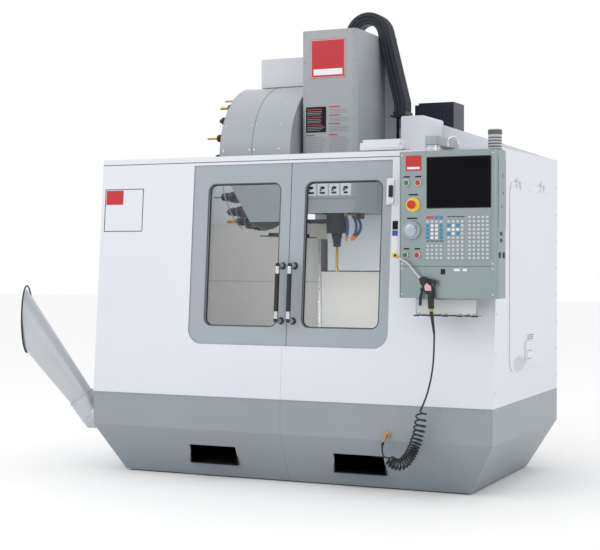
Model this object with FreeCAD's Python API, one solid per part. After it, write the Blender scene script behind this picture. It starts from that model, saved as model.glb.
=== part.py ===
# CNC machining center: vertical spindle, enclosed, with side tool changer and operator's pendant.
# Millimetres. X runs to the operator's right, Y to the back, Z up.
# The origin is on the floor, in the middle of the four anchor points.
import FreeCAD, Part
import math
import os

from FreeCAD import Vector

# ---------------------------------------------------------------- driving sizes
# enclosure
ENCLOSURE_WIDTH = 2300.0
ENCLOSURE_DEPTH = 1269.0
FRONT_Y = -860.0
FRONT_TOP_Z = 1736.0
BAND_TOP_Z = 446.0
CREASE_Z = 265.0
SKIRT_GAP = 6.0
FRONT_TAPER = 115.0
SIDE_TAPER = 145.0
REAR_TAPER = 112.0
FRONT_LEAN = 0.0845
SHEET = 3.0
SKIRT_SHEET = 4.0
SEAM = 1.0
REAR_PEAK_Z = 2014.0
REAR_PEAK_X = 347.0

# forklift pockets
POCKET_NEAR_X = 284.0
POCKET_WIDTH = 281.0
POCKET_LOW_Z = 77.0
POCKET_HEIGHT = 100.0

# doors
DOOR_SEAM_X = 20.0
DOOR_SEAM_GAP = 4.0
OPENING_LEFT_X = -565.0
OPENING_RIGHT_X = 590.0
OPENING_LOW_Z = 725.0
OPENING_TOP_Z = 1690.0
OPENING_CORNER = 80.0
DOOR_THICKNESS = 25.0
DOOR_GAP = 3.0
DOOR_LAP = 25.0
WINDOW_LOW_Z = 824.0
WINDOW_TOP_Z = 1588.0
WINDOW_WIDTH = 434.0
LEFT_WINDOW_X = -474.0
RIGHT_WINDOW_X = 102.0
WINDOW_CORNER = 42.0
PANE = 6.0
TRACK_Z = 12.0
WHEEL_R = 7.0
PANE_LAP = 15.0
HANDLE_OFFSET = 35.0
HANDLE_LOW_Z = 857.0
HANDLE_SPACING = 290.0
HANDLE_STANDOFF = 62.0
HANDLE_RADIUS = 12.0

# machine bed
ANCHOR_SPACING_X = 400.0
ANCHOR_SPACING_Y = 1250.0
ANCHOR_HOLE_R = 9.0
FOOT_RADIUS = 45.0
FOOT_HEIGHT = 25.0
BASE_HALF_LENGTH = 675.0
BASE_FOOT_HALF_WIDTH = 255.0
BASE_HALF_WIDTH = 440.0
BASE_LOW_Z = 60.0
BASE_SHOULDER_Z = 200.0
BASE_TOP_Z = 400.0
RAIL_SEAT = 30.0
RAIL_WIDTH = 34.0
RAIL_HEIGHT = 30.0
BLOCK_WIDTH = 70.0
BLOCK_LENGTH = 100.0
BLOCK_HEIGHT = 45.0
BLOCK_UNDERCUT = 6.0
RAIL_CLEARANCE = 1.0
RUNNING = 0.06

# axes
SPINDLE_Y = -98.0
Y_RAIL_X = 200.0
SADDLE_HALF_LENGTH = 220.0
SADDLE_HALF_WIDTH = 640.0
SADDLE_THICKNESS = 100.0
X_RAIL_OFFSET = 120.0
TABLE_LENGTH = 914.0
TABLE_WIDTH = 356.0
TABLE_THICKNESS = 100.0
SLOT_SPACING = 125.0
SLOT_WIDTH = 16.0
SLOT_DEPTH = 20.0
SLOT_FOOT_WIDTH = 28.0
SLOT_FOOT_HEIGHT = 12.0
X_TRAVEL = 381.0
Y_TRAVEL = 203.0
SCREW_RADIUS = 18.0
MOTOR_SIZE = 100.0
MOTOR_LENGTH = 125.0

# column and head
THROAT = 356.0
COLUMN_HALF_WIDTH = 210.0
COLUMN_SETBACK = 77.0
COLUMN_TOP_Z = 2040.0
COLUMN_WALL = 35.0
Z_RAIL_X = 150.0
HEAD_COVER_HALF_WIDTH = 169.0
HEAD_COVER_FRONT_Y = -220.0
HEAD_COVER_BACK_Y = 230.0
HEAD_COVER_LOW_Z = 1441.0
HEAD_COVER_TOP_Z = 2473.0
HEAD_CORNER = 30.0
HEAD_FLANGE_X = 240.0
HEAD_LOW_Z = 1449.0
NOSE_Z = 1329.0
NOSE_RADIUS = 60.0
SHAFT_RADIUS = 40.0
HOLDER_FLANGE_R = 31.5
HOLDER_LENGTH = 79.0
DRILL_LENGTH = 138.0
DRILL_RADIUS = 7.0

# tool changer
DRUM_Y = 104.0
DRUM_Z = 1765.0
DRUM_SHROUD_R = 434.0
DRUM_LEFT_X = -635.0
DRUM_RIGHT_X = -250.0
HOOD_RIGHT_X = -190.0
HOOD_BACK_Y = 200.0
POCKET_COUNT = 20
POCKET_CIRCLE_R = 378.0
ARM_PIVOT_X = -300.0
ARM_Z = 1307.0
ARM_PLATE = 6.0

# chips and coolant
AUGER_Y = -755.0
AUGER_Z = 300.0
AUGER_RADIUS = 66.0
AUGER_PITCH = 140.0
TROUGH_RADIUS = 72.0
CHUTE_KNEE = 60.0
CHUTE_RISE = 520.0
CHUTE_REACH = 367.0
CHUTE_SWING = -135.0
CHUTE_COLLAR = 130.0
CHUTE_LOW_R = 70.0
CHUTE_HIGH_R = 112.0
CHUTE_WALL = 3.0

# pendant
PENDANT_LEFT_X = 731.0
PENDANT_RIGHT_X = 1229.0
PENDANT_FRONT_Y = -1060.0
PENDANT_DEPTH = 170.0
PENDANT_LOW_Z = 993.0
PENDANT_TOP_Z = 1703.0
PENDANT_CORNER = 30.0
TRAY_LEFT_X = 803.0
TRAY_RIGHT_X = 1115.0
TRAY_DROP = 88.0
PIVOT_X = 880.0
PIVOT_Y = -975.0
PIVOT_PIN_R = 22.0
BUTTON_RADIUS = 11.0
BUTTON_DEPTH = 22.0
BUTTON_HOLE_R = 11.3
BUTTONS = {
    "power_on_button": (776.0, 1551.0),
    "power_off_button": (835.0, 1551.0),
    "cycle_start_button": (770.0, 1201.0),
    "feed_hold_button": (831.0, 1201.0),
}
STOP_X = 809.0
STOP_Z = 1445.0
JOG_X = 803.0
JOG_Z = 1322.0
JOG_RADIUS = 42.0

# air gun and its hose
GUN_Y = -1085.0
GUN_THICKNESS = 26.0
TRIGGER_X = 866.0
TRIGGER_Z = 1036.0
HOSE_DIAMETER = 9.0
COIL_RADIUS = 32.0
HOSE_UPPER_ROUTE = [
    (926.0, -1085.0, 825.0),
    (926.0, -1085.0, 745.0),
    (912.0, -1066.0, 650.0),
    (887.0, -1038.0, 570.0),
    (856.0, -1003.0, 504.0),
    (822.0, -966.0, 438.0),
]
HOSE_COIL_ROUTE = [
    (822.0, -966.0, 438.0),
    (808.0, -953.0, 352.0),
    (783.0, -950.0, 265.0),
    (742.0, -950.0, 186.0),
    (688.0, -950.0, 148.0),
    (634.0, -948.0, 182.0),
]
HOSE_TAIL_ROUTE = [
    (634.0, -948.0, 182.0),
    (606.0, -927.0, 190.0),
    (589.0, -906.0, 215.0),
    (585.0, -892.0, 250.0),
]

# ---------------------------------------------------------------- derived sizes
HALF_WIDTH = ENCLOSURE_WIDTH / 2
BACK_Y = FRONT_Y + ENCLOSURE_DEPTH
LEAN_ANGLE = math.degrees(math.atan(FRONT_LEAN))
REAR_TOP_Z = FRONT_TOP_Z + 6.0
INNER_X = HALF_WIDTH - SHEET
RAIL_BASE_Z = BASE_TOP_Z + RAIL_SEAT
SADDLE_LOW_Z = RAIL_BASE_Z + BLOCK_HEIGHT
SADDLE_TOP_Z = SADDLE_LOW_Z + SADDLE_THICKNESS
TABLE_LOW_Z = SADDLE_TOP_Z + BLOCK_HEIGHT
TABLE_TOP_Z = TABLE_LOW_Z + TABLE_THICKNESS
RAIL_FACE_Y = SPINDLE_Y + THROAT
COLUMN_FRONT_Y = RAIL_FACE_Y + COLUMN_SETBACK
COLUMN_PAD_Y = RAIL_FACE_Y + RAIL_HEIGHT
HEAD_BACK_Y = RAIL_FACE_Y - BLOCK_HEIGHT + RAIL_HEIGHT
Z_SCREW_Y = HEAD_COVER_BACK_Y + MOTOR_SIZE / 2 + 16
Y_SCREW_Z = BASE_TOP_Z + 36
X_SCREW_Z = SADDLE_TOP_Z - 15
PENDANT_BACK_Y = PENDANT_FRONT_Y + PENDANT_DEPTH
TRAY_Z = BAND_TOP_Z - SHEET - 3


# ---------------------------------------------------------------- shape helpers
def box(x0, x1, y0, y1, z0, z1):
    return Part.makeBox(x1 - x0, y1 - y0, z1 - z0, Vector(x0, y0, z0))


def rod(start, end, radius):
    """A round bar from one point to another."""
    a = Vector(*start)
    along = Vector(*end) - a
    return Part.makeCylinder(radius, along.Length, a, along)


def cone(start, end, radius_a, radius_b):
    a = Vector(*start)
    along = Vector(*end) - a
    return Part.makeCone(radius_a, radius_b, along.Length, a, along)


def prism(points, direction):
    """A flat outline of 3-D points, pushed along a direction."""
    wire = Part.makePolygon([Vector(*p) for p in points + points[:1]])
    return Part.Face(wire).extrude(Vector(*direction))


def rounded_plate(x0, x1, z0, z1, y0, y1, radius, corners="abcd"):
    """A plate in the XZ plane with rounded corners: a low left, b low right, c top right, d top left."""
    plate = box(x0, x1, y0, y1, z0, z1)
    places = {"a": (x0, z0), "b": (x1, z0), "c": (x1, z1), "d": (x0, z1)}
    picked = []
    for edge in plate.Edges:
        a = edge.Vertexes[0].Point
        b = edge.Vertexes[-1].Point
        if abs(a.x - b.x) > 0.01 or abs(a.z - b.z) > 0.01:
            continue
        for corner in corners:
            if abs(a.x - places[corner][0]) < 0.01 and abs(a.z - places[corner][1]) < 0.01:
                picked.append(edge)
    return plate.makeFillet(radius, picked)


def upright_box(x0, x1, y0, y1, z0, z1, radius, front_only=False):
    """A box whose upright edges are rounded."""
    solid = box(x0, x1, y0, y1, z0, z1)
    picked = []
    for edge in solid.Edges:
        a = edge.Vertexes[0].Point
        b = edge.Vertexes[-1].Point
        upright = abs(a.x - b.x) < 0.01 and abs(a.y - b.y) < 0.01
        if upright and (not front_only or abs(a.y - y0) < 0.01):
            picked.append(edge)
    return solid.makeFillet(radius, picked)


def fuse(first, *others):
    return first.fuse(list(others)).removeSplitter()


def lean(shape):
    """Tilt a shape made on the upright front plane back on to the leaning front."""
    tilted = shape.copy()
    tilted.rotate(Vector(0, FRONT_Y, BAND_TOP_Z), Vector(1, 0, 0), -LEAN_ANGLE)
    return tilted


def slope_z(z):
    """The height on the upright plane that comes to z once the front leans back."""
    return BAND_TOP_Z + (z - BAND_TOP_Z) / math.cos(math.radians(LEAN_ANGLE))


def lean_y(z):
    return FRONT_Y + FRONT_LEAN * (z - BAND_TOP_Z)


def save(name, *shapes):
    solids = []
    for shape in shapes:
        solids += shape.Solids
    for solid in solids:
        if not solid.isValid():
            print("not valid:", name)
    whole = solids[0] if len(solids) == 1 else Part.makeCompound(solids)
    whole.exportStep("parts/" + name + ".step")


# ---------------------------------------------------------------- bed
def base_casting():
    foot = box(-BASE_FOOT_HALF_WIDTH, BASE_FOOT_HALF_WIDTH, -BASE_HALF_LENGTH,
               BASE_HALF_LENGTH, BASE_LOW_Z, BASE_SHOULDER_Z)
    bed = box(-BASE_HALF_WIDTH, BASE_HALF_WIDTH, -BASE_HALF_LENGTH, BASE_HALF_LENGTH,
              BASE_SHOULDER_Z, BASE_TOP_Z)
    body = fuse(foot, bed)
    for side in (-1, 1):
        seat = box(side * Y_RAIL_X - 30, side * Y_RAIL_X + 30, -BASE_HALF_LENGTH + 10,
                   COLUMN_FRONT_Y, BASE_TOP_Z, RAIL_BASE_Z)
        body = body.fuse(seat)
    column_seat = box(-COLUMN_HALF_WIDTH - 40, COLUMN_HALF_WIDTH + 40, COLUMN_FRONT_Y,
                      BASE_HALF_LENGTH, BASE_TOP_Z, RAIL_BASE_Z)
    bearing = box(-60, 60, -BASE_HALF_LENGTH, -BASE_HALF_LENGTH + 40, BASE_TOP_Z, Y_SCREW_Z + 50)
    rear_bearing = box(-45, 45, COLUMN_FRONT_Y - 60, COLUMN_FRONT_Y - 30, BASE_TOP_Z - 30,
                       Y_SCREW_Z + 30)
    body = fuse(body, column_seat, bearing, rear_bearing)
    channel = box(-45, 45, -BASE_HALF_LENGTH + 40, COLUMN_FRONT_Y - 60, Y_SCREW_Z - 42, BASE_TOP_Z)
    body = body.cut(channel)
    body = body.cut(rod((0, -BASE_HALF_LENGTH - 1, Y_SCREW_Z), (0, COLUMN_FRONT_Y - 29, Y_SCREW_Z),
                        SCREW_RADIUS + RUNNING))
    for x in (-1, 1):
        for y in (-1, 1):
            place = (x * ANCHOR_SPACING_X / 2, y * ANCHOR_SPACING_Y / 2)
            body = body.cut(rod((*place, BASE_LOW_Z - 1), (*place, BASE_LOW_Z + 80), 16.0))
    save("base_casting", body)


def levelling_feet():
    """Four pads on the floor, each with a hollow jack screw up into the bed."""
    feet = []
    for x in (-1, 1):
        for y in (-1, 1):
            px = x * ANCHOR_SPACING_X / 2
            py = y * ANCHOR_SPACING_Y / 2
            pad = cone((px, py, 0), (px, py, FOOT_HEIGHT), FOOT_RADIUS, FOOT_RADIUS - 8)
            screw = rod((px, py, FOOT_HEIGHT), (px, py, BASE_LOW_Z + 80), 16.0)
            collar = rod((px, py, FOOT_HEIGHT + 8), (px, py, BASE_LOW_Z), 28.0)
            foot = fuse(pad, screw, collar)
            feet.append(foot.cut(rod((px, py, -1), (px, py, BASE_LOW_Z + 81), ANCHOR_HOLE_R)))
    save("levelling_feet", *feet)


def rail_across(x0, x1, y, z):
    """A profile rail along X, lying on a seat at height z."""
    rail = box(x0, x1, y - RAIL_WIDTH / 2, y + RAIL_WIDTH / 2, z, z + RAIL_HEIGHT)
    waist = RAIL_WIDTH / 2 - 5
    for side in (-1, 1):
        inner = sorted((y + side * waist, y + side * (RAIL_WIDTH / 2 + 1)))
        rail = rail.cut(box(x0 - 1, x1 + 1, inner[0], inner[1], z + 10, z + 20))
    return rail


def turned_y(shape):
    """A shape made along X, turned to lie along Y."""
    copy = shape.copy()
    copy.rotate(Vector(0, 0, 0), Vector(0, 0, 1), 90)
    return copy


def linear_rails():
    rails = []
    for side in (-1, 1):
        rail = turned_y(rail_across(-BASE_HALF_LENGTH + 20, COLUMN_FRONT_Y - 10, 0, RAIL_BASE_Z))
        rail.translate(Vector(side * Y_RAIL_X, 0, 0))
        rails.append(rail)
    for side in (-1, 1):
        x = side * Z_RAIL_X
        rail = box(x - RAIL_WIDTH / 2, x + RAIL_WIDTH / 2, RAIL_FACE_Y, COLUMN_PAD_Y, 900,
                   COLUMN_TOP_Z - 10)
        for edge in (-1, 1):
            cut_x = sorted((x + edge * (RAIL_WIDTH / 2 - 5), x + edge * (RAIL_WIDTH / 2 + 1)))
            rail = rail.cut(box(cut_x[0], cut_x[1], RAIL_FACE_Y + 10, RAIL_FACE_Y + 20, 899,
                                COLUMN_TOP_Z))
        rails.append(rail)
    save("linear_rails", *rails)


def block_across(x, y, z):
    """A carriage over a rail along X whose seat is at height z."""
    block = box(x - BLOCK_LENGTH / 2, x + BLOCK_LENGTH / 2, y - BLOCK_WIDTH / 2,
                y + BLOCK_WIDTH / 2, z + BLOCK_UNDERCUT, z + BLOCK_HEIGHT)
    gap = RAIL_WIDTH / 2 + RAIL_CLEARANCE
    return block.cut(box(x - BLOCK_LENGTH, x + BLOCK_LENGTH, y - gap, y + gap, z - 1,
                         z + RAIL_HEIGHT + RAIL_CLEARANCE))


# ---------------------------------------------------------------- saddle and table
def saddle():
    low_y = SPINDLE_Y - SADDLE_HALF_LENGTH
    high_y = SPINDLE_Y + SADDLE_HALF_LENGTH
    body = box(-SADDLE_HALF_WIDTH, SADDLE_HALF_WIDTH, low_y, high_y, SADDLE_LOW_Z, SADDLE_TOP_Z)
    end_x = BASE_HALF_WIDTH - 120
    for side in (-1, 1):
        under = sorted((side * end_x, side * (SADDLE_HALF_WIDTH + 1)))
        body = body.cut(box(under[0], under[1], low_y - 1, high_y + 1, SADDLE_LOW_Z - 1,
                            SADDLE_LOW_Z + 35))
    body = body.cut(box(-SADDLE_HALF_WIDTH - 1, SADDLE_HALF_WIDTH + 1, SPINDLE_Y - 40,
                        SPINDLE_Y + 40, X_SCREW_Z - 30, SADDLE_TOP_Z + 1))
    nut = box(-38, 38, SPINDLE_Y - 50, SPINDLE_Y + 50, Y_SCREW_Z - 30, SADDLE_LOW_Z)
    nut = nut.cut(rod((0, SPINDLE_Y - 51, Y_SCREW_Z), (0, SPINDLE_Y + 51, Y_SCREW_Z),
                      SCREW_RADIUS + RUNNING))
    blocks = []
    for side in (-1, 1):
        for end in (-1, 1):
            block = turned_y(block_across(0, 0, RAIL_BASE_Z))
            block.translate(Vector(side * Y_RAIL_X, SPINDLE_Y + end * 150, 0))
            blocks.append(block)
    apron_low = low_y - COVER_PLATE
    apron = box(-COVER_HALF_WIDTH, COVER_HALF_WIDTH, apron_low, low_y, COVER_Z + 4.6,
                COVER_Z + 6.6)
    hanger = box(-COVER_HALF_WIDTH, COVER_HALF_WIDTH, low_y - 4, low_y, SADDLE_LOW_Z + 36,
                 COVER_Z + 4.6)
    save("saddle", body, nut, *blocks, fuse(apron, hanger))


COVER_PLATE = 224.0
COVER_STOP = 6.0
COVER_HALF_WIDTH = 250.0
COVER_Z = SADDLE_LOW_Z + 70


def way_cover_middle():
    """The middle plate of the telescoping cover in front of the saddle, half way at rest."""
    high_y = SPINDLE_Y - SADDLE_HALF_LENGTH - Y_TRAVEL / 2 - COVER_STOP
    wide = COVER_HALF_WIDTH - 5
    plate = box(-wide, wide, high_y - COVER_PLATE, high_y, COVER_Z + 2.3, COVER_Z + 4.3)
    for side in (-1, 1):
        flange = sorted((side * (wide - 2), side * wide))
        plate = plate.fuse(box(flange[0], flange[1], high_y - COVER_PLATE, high_y, COVER_Z - 30,
                               COVER_Z + 4.3))
    save("way_cover_middle", plate.removeSplitter())


def way_cover_fixed():
    """The front plate of the telescoping cover, on legs that stand on the bed."""
    high_y = SPINDLE_Y - SADDLE_HALF_LENGTH - Y_TRAVEL - COVER_STOP
    low_y = high_y - COVER_PLATE
    wide = COVER_HALF_WIDTH - 10
    over_trough_z = TRAY_Z + SHEET + 2
    pieces = [box(-wide, wide, low_y, high_y, COVER_Z, COVER_Z + 2)]
    for side in (-1, 1):
        leg = sorted((side * (wide - 2), side * wide))
        pieces.append(box(leg[0], leg[1], -BASE_HALF_LENGTH, high_y, BASE_TOP_Z, COVER_Z))
        pieces.append(box(leg[0], leg[1], low_y, -BASE_HALF_LENGTH, over_trough_z, COVER_Z))
    pieces.append(box(2 - wide, wide - 2, low_y, low_y + 2, max(over_trough_z, Y_SCREW_Z + 60),
                      COVER_Z))
    return pieces


def x_rails():
    rails = []
    for side in (-1, 1):
        y = SPINDLE_Y + side * X_RAIL_OFFSET
        rails.append(rail_across(-SADDLE_HALF_WIDTH + 14, SADDLE_HALF_WIDTH - 14, y, SADDLE_TOP_Z))
    for side in (-1, 1):
        ends = sorted((side * (SADDLE_HALF_WIDTH - 30), side * SADDLE_HALF_WIDTH))
        bearing = box(ends[0], ends[1], SPINDLE_Y - 39, SPINDLE_Y + 39, X_SCREW_Z - 30,
                      X_SCREW_Z + 30)
        rails.append(bearing.cut(rod((ends[0] - 1, SPINDLE_Y, X_SCREW_Z),
                                     (ends[1] + 1, SPINDLE_Y, X_SCREW_Z), SCREW_RADIUS + RUNNING)))
    half = MOTOR_SIZE / 2
    motor = box(SADDLE_HALF_WIDTH, SADDLE_HALF_WIDTH + MOTOR_LENGTH, SPINDLE_Y - half,
                SPINDLE_Y + half, X_SCREW_Z - half, X_SCREW_Z + half)
    rails.append(motor)
    save("x_rails", *rails)


def table():
    half = TABLE_LENGTH / 2
    low_y = SPINDLE_Y - TABLE_WIDTH / 2
    high_y = SPINDLE_Y + TABLE_WIDTH / 2
    body = box(-half, half, low_y, high_y, TABLE_LOW_Z, TABLE_TOP_Z)
    for side in (-1, 1):
        under = sorted((SPINDLE_Y + side * 45, SPINDLE_Y + side * 75))
        body = body.cut(box(-half - 1, half + 1, under[0], under[1], TABLE_LOW_Z - 1,
                            TABLE_LOW_Z + 40))
    for step in (-1, 0, 1):
        y = SPINDLE_Y + step * SLOT_SPACING
        body = body.cut(box(-half - 1, half + 1, y - SLOT_WIDTH / 2, y + SLOT_WIDTH / 2,
                            TABLE_TOP_Z - SLOT_DEPTH, TABLE_TOP_Z + 1))
        body = body.cut(box(-half - 1, half + 1, y - SLOT_FOOT_WIDTH / 2, y + SLOT_FOOT_WIDTH / 2,
                            TABLE_TOP_Z - SLOT_DEPTH - SLOT_FOOT_HEIGHT, TABLE_TOP_Z - SLOT_DEPTH))
    nut = box(-45, 45, SPINDLE_Y - 34, SPINDLE_Y + 34, X_SCREW_Z - 26, TABLE_LOW_Z)
    nut = nut.cut(rod((-46, SPINDLE_Y, X_SCREW_Z), (46, SPINDLE_Y, X_SCREW_Z),
                      SCREW_RADIUS + RUNNING))
    blocks = []
    for side in (-1, 1):
        for end in (-1, 1):
            blocks.append(block_across(end * 200, SPINDLE_Y + side * X_RAIL_OFFSET, SADDLE_TOP_Z))
    save("table", body, nut, *blocks)


def ball_screws():
    save("x_screw", rod((-SADDLE_HALF_WIDTH + 10, SPINDLE_Y, X_SCREW_Z),
                        (SADDLE_HALF_WIDTH, SPINDLE_Y, X_SCREW_Z), SCREW_RADIUS))
    save("y_screw", rod((0, -BASE_HALF_LENGTH, Y_SCREW_Z), (0, COLUMN_FRONT_Y - 35, Y_SCREW_Z),
                        SCREW_RADIUS))
    save("z_screw", rod((0, Z_SCREW_Y, 900), (0, Z_SCREW_Y, COLUMN_TOP_Z + 30), SCREW_RADIUS))


def motor_body(centre, direction):
    """A servo motor: square body with a round rear housing."""
    half = MOTOR_SIZE / 2
    cx, cy, cz = centre
    if direction == "y":
        body = box(cx - half, cx + half, cy - MOTOR_LENGTH, cy, cz - half, cz + half)
        rear = rod((cx, cy - MOTOR_LENGTH, cz), (cx, cy - MOTOR_LENGTH - 20, cz), half - 8)
    else:
        body = box(cx - half, cx + half, cy - half, cy + half, cz, cz + MOTOR_LENGTH)
        rear = rod((cx, cy, cz + MOTOR_LENGTH), (cx, cy, cz + MOTOR_LENGTH + 20), half - 8)
    return fuse(body, rear)


def axis_motors():
    y_motor = motor_body((0, -BASE_HALF_LENGTH, Y_SCREW_Z), "y")
    z_motor = motor_body((0, Z_SCREW_Y, COLUMN_TOP_Z + 30), "z")
    auger_motor = box(1043, 1136, AUGER_Y - 52, AUGER_Y + 52, AUGER_Z - 52, AUGER_Z + 52)
    save("axis_motors", y_motor, z_motor, auger_motor)


# ---------------------------------------------------------------- column and head
def column():
    outer = box(-COLUMN_HALF_WIDTH, COLUMN_HALF_WIDTH, COLUMN_FRONT_Y, BASE_HALF_LENGTH,
                RAIL_BASE_Z, COLUMN_TOP_Z)
    inner = box(-COLUMN_HALF_WIDTH + COLUMN_WALL, COLUMN_HALF_WIDTH - COLUMN_WALL,
                COLUMN_FRONT_Y + COLUMN_WALL, BASE_HALF_LENGTH - COLUMN_WALL, RAIL_BASE_Z - 1,
                COLUMN_TOP_Z - COLUMN_WALL)
    pad = box(-COLUMN_HALF_WIDTH, COLUMN_HALF_WIDTH, COLUMN_PAD_Y, COLUMN_FRONT_Y, 860,
              COLUMN_TOP_Z)
    body = fuse(outer, pad).cut(inner)
    body = body.cut(box(-48, 48, COLUMN_PAD_Y - 1, COLUMN_FRONT_Y + 12, 930, COLUMN_TOP_Z - 30))
    body = body.cut(rod((0, Z_SCREW_Y, 899), (0, Z_SCREW_Y, COLUMN_TOP_Z + 1),
                        SCREW_RADIUS + RUNNING))
    motor_mount = box(-60, 60, HEAD_COVER_BACK_Y + 14, COLUMN_FRONT_Y + 60, COLUMN_TOP_Z,
                      COLUMN_TOP_Z + 30)
    motor_mount = motor_mount.cut(rod((0, Z_SCREW_Y, COLUMN_TOP_Z - 1),
                                      (0, Z_SCREW_Y, COLUMN_TOP_Z + 31), SCREW_RADIUS + RUNNING))
    save("column", body, motor_mount)


def column_covers():
    """Sheets round the part of the column that stands above the enclosure, and a side box."""
    outer = box(-HEAD_FLANGE_X, HEAD_FLANGE_X, COLUMN_PAD_Y - 8, BASE_HALF_LENGTH, 1500,
                COLUMN_TOP_Z + 3)
    inner = box(-HEAD_FLANGE_X + SHEET, HEAD_FLANGE_X - SHEET, COLUMN_PAD_Y - 9,
                BASE_HALF_LENGTH + 1, 1499, COLUMN_TOP_Z)
    shell = outer.cut(inner)
    shell = shell.cut(box(-62, 62, COLUMN_PAD_Y - 10, COLUMN_FRONT_Y + 62, COLUMN_TOP_Z - 1,
                          COLUMN_TOP_Z + 4))
    shell = shell.cut(box(-HEAD_FLANGE_X - 1, -HEAD_FLANGE_X + SHEET + 1, BRACKET_FRONT_Y - 5,
                          BRACKET_BACK_Y + 5, GEARBOX_LOW_Z - 10, GEARBOX_TOP_Z + 10))
    tower = upright_box(-580, -HEAD_FLANGE_X, 90, 400, 2207, 2377, 20.0)
    post = box(-247, -HEAD_FLANGE_X, COLUMN_FRONT_Y, 400, COLUMN_TOP_Z + 3, 2207)
    foot = box(-247, -COLUMN_HALF_WIDTH + 20, COLUMN_FRONT_Y, 400, COLUMN_TOP_Z + 3,
               COLUMN_TOP_Z + 8)
    save("column_covers", shell, fuse(tower, post, foot))


BRACKET_FRONT_Y = 380.0
BRACKET_BACK_Y = 640.0
GEARBOX_LOW_Z = 1500.0
GEARBOX_TOP_Z = 1900.0
CHAIN_LOW_Y = 118.0
CHAIN_HIGH_Y = 225.0
CHAIN_HALF = 28.0
CHAIN_START_X = -6.0
CHAIN_END_X = 300.0
CHAIN_END_Z = 2012.0
CHAIN_SLANT = 14.0
CHAIN_ARCH_R = 102.0


def head_casting():
    body = upright_box(-130, 130, HEAD_COVER_FRONT_Y + 30, HEAD_COVER_BACK_Y + 3, HEAD_LOW_Z,
                       1960, 40.0, front_only=True)
    back = box(-180, 180, HEAD_COVER_BACK_Y + 3, HEAD_BACK_Y, 1495, 1960)
    body = fuse(body, back)
    body = body.cut(rod((0, SPINDLE_Y, HEAD_LOW_Z - 1), (0, SPINDLE_Y, 1901), NOSE_RADIUS))
    body = body.cut(rod((0, SPINDLE_Y, 1900), (0, SPINDLE_Y, 1961), SHAFT_RADIUS + RUNNING))
    nut = box(-38, 38, HEAD_BACK_Y, Z_SCREW_Y + 38, 1680, 1780)
    nut = nut.cut(rod((0, Z_SCREW_Y, 1679), (0, Z_SCREW_Y, 1781), SCREW_RADIUS + RUNNING))
    blocks = []
    for side in (-1, 1):
        for z in (1560, 1880):
            x = side * Z_RAIL_X
            block = box(x - BLOCK_WIDTH / 2 + 5, x + BLOCK_WIDTH / 2 - 5, HEAD_BACK_Y,
                        COLUMN_PAD_Y - BLOCK_UNDERCUT, z - BLOCK_LENGTH / 2, z + BLOCK_LENGTH / 2)
            gap = RAIL_WIDTH / 2 + RAIL_CLEARANCE
            blocks.append(block.cut(box(x - gap, x + gap, RAIL_FACE_Y - RAIL_CLEARANCE,
                                        COLUMN_PAD_Y, z - BLOCK_LENGTH, z + BLOCK_LENGTH)))
    save("head_casting", body, nut, *blocks)


def head_cover():
    w = HEAD_COVER_HALF_WIDTH
    outer = upright_box(-w, w, HEAD_COVER_FRONT_Y, HEAD_COVER_BACK_Y, HEAD_COVER_LOW_Z,
                        HEAD_COVER_TOP_Z, HEAD_CORNER, front_only=True)
    inner = upright_box(-w + SHEET, w - SHEET, HEAD_COVER_FRONT_Y + SHEET, HEAD_COVER_BACK_Y + 1,
                        HEAD_COVER_LOW_Z - 1, HEAD_COVER_TOP_Z - SHEET, HEAD_CORNER - SHEET,
                        front_only=True)
    shell = outer.cut(inner)
    for side in (-1, 1):
        ends = sorted((side * (w - SHEET), side * HEAD_FLANGE_X))
        shell = shell.fuse(box(ends[0], ends[1], HEAD_COVER_BACK_Y - SHEET, HEAD_COVER_BACK_Y,
                               1560, HEAD_COVER_TOP_Z))
    shell = shell.removeSplitter()
    apron = box(-200, 200, HEAD_COVER_BACK_Y + 0.5, HEAD_COVER_BACK_Y + 3, 1112, HEAD_LOW_Z)
    save("head_cover", shell, apron)


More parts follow.
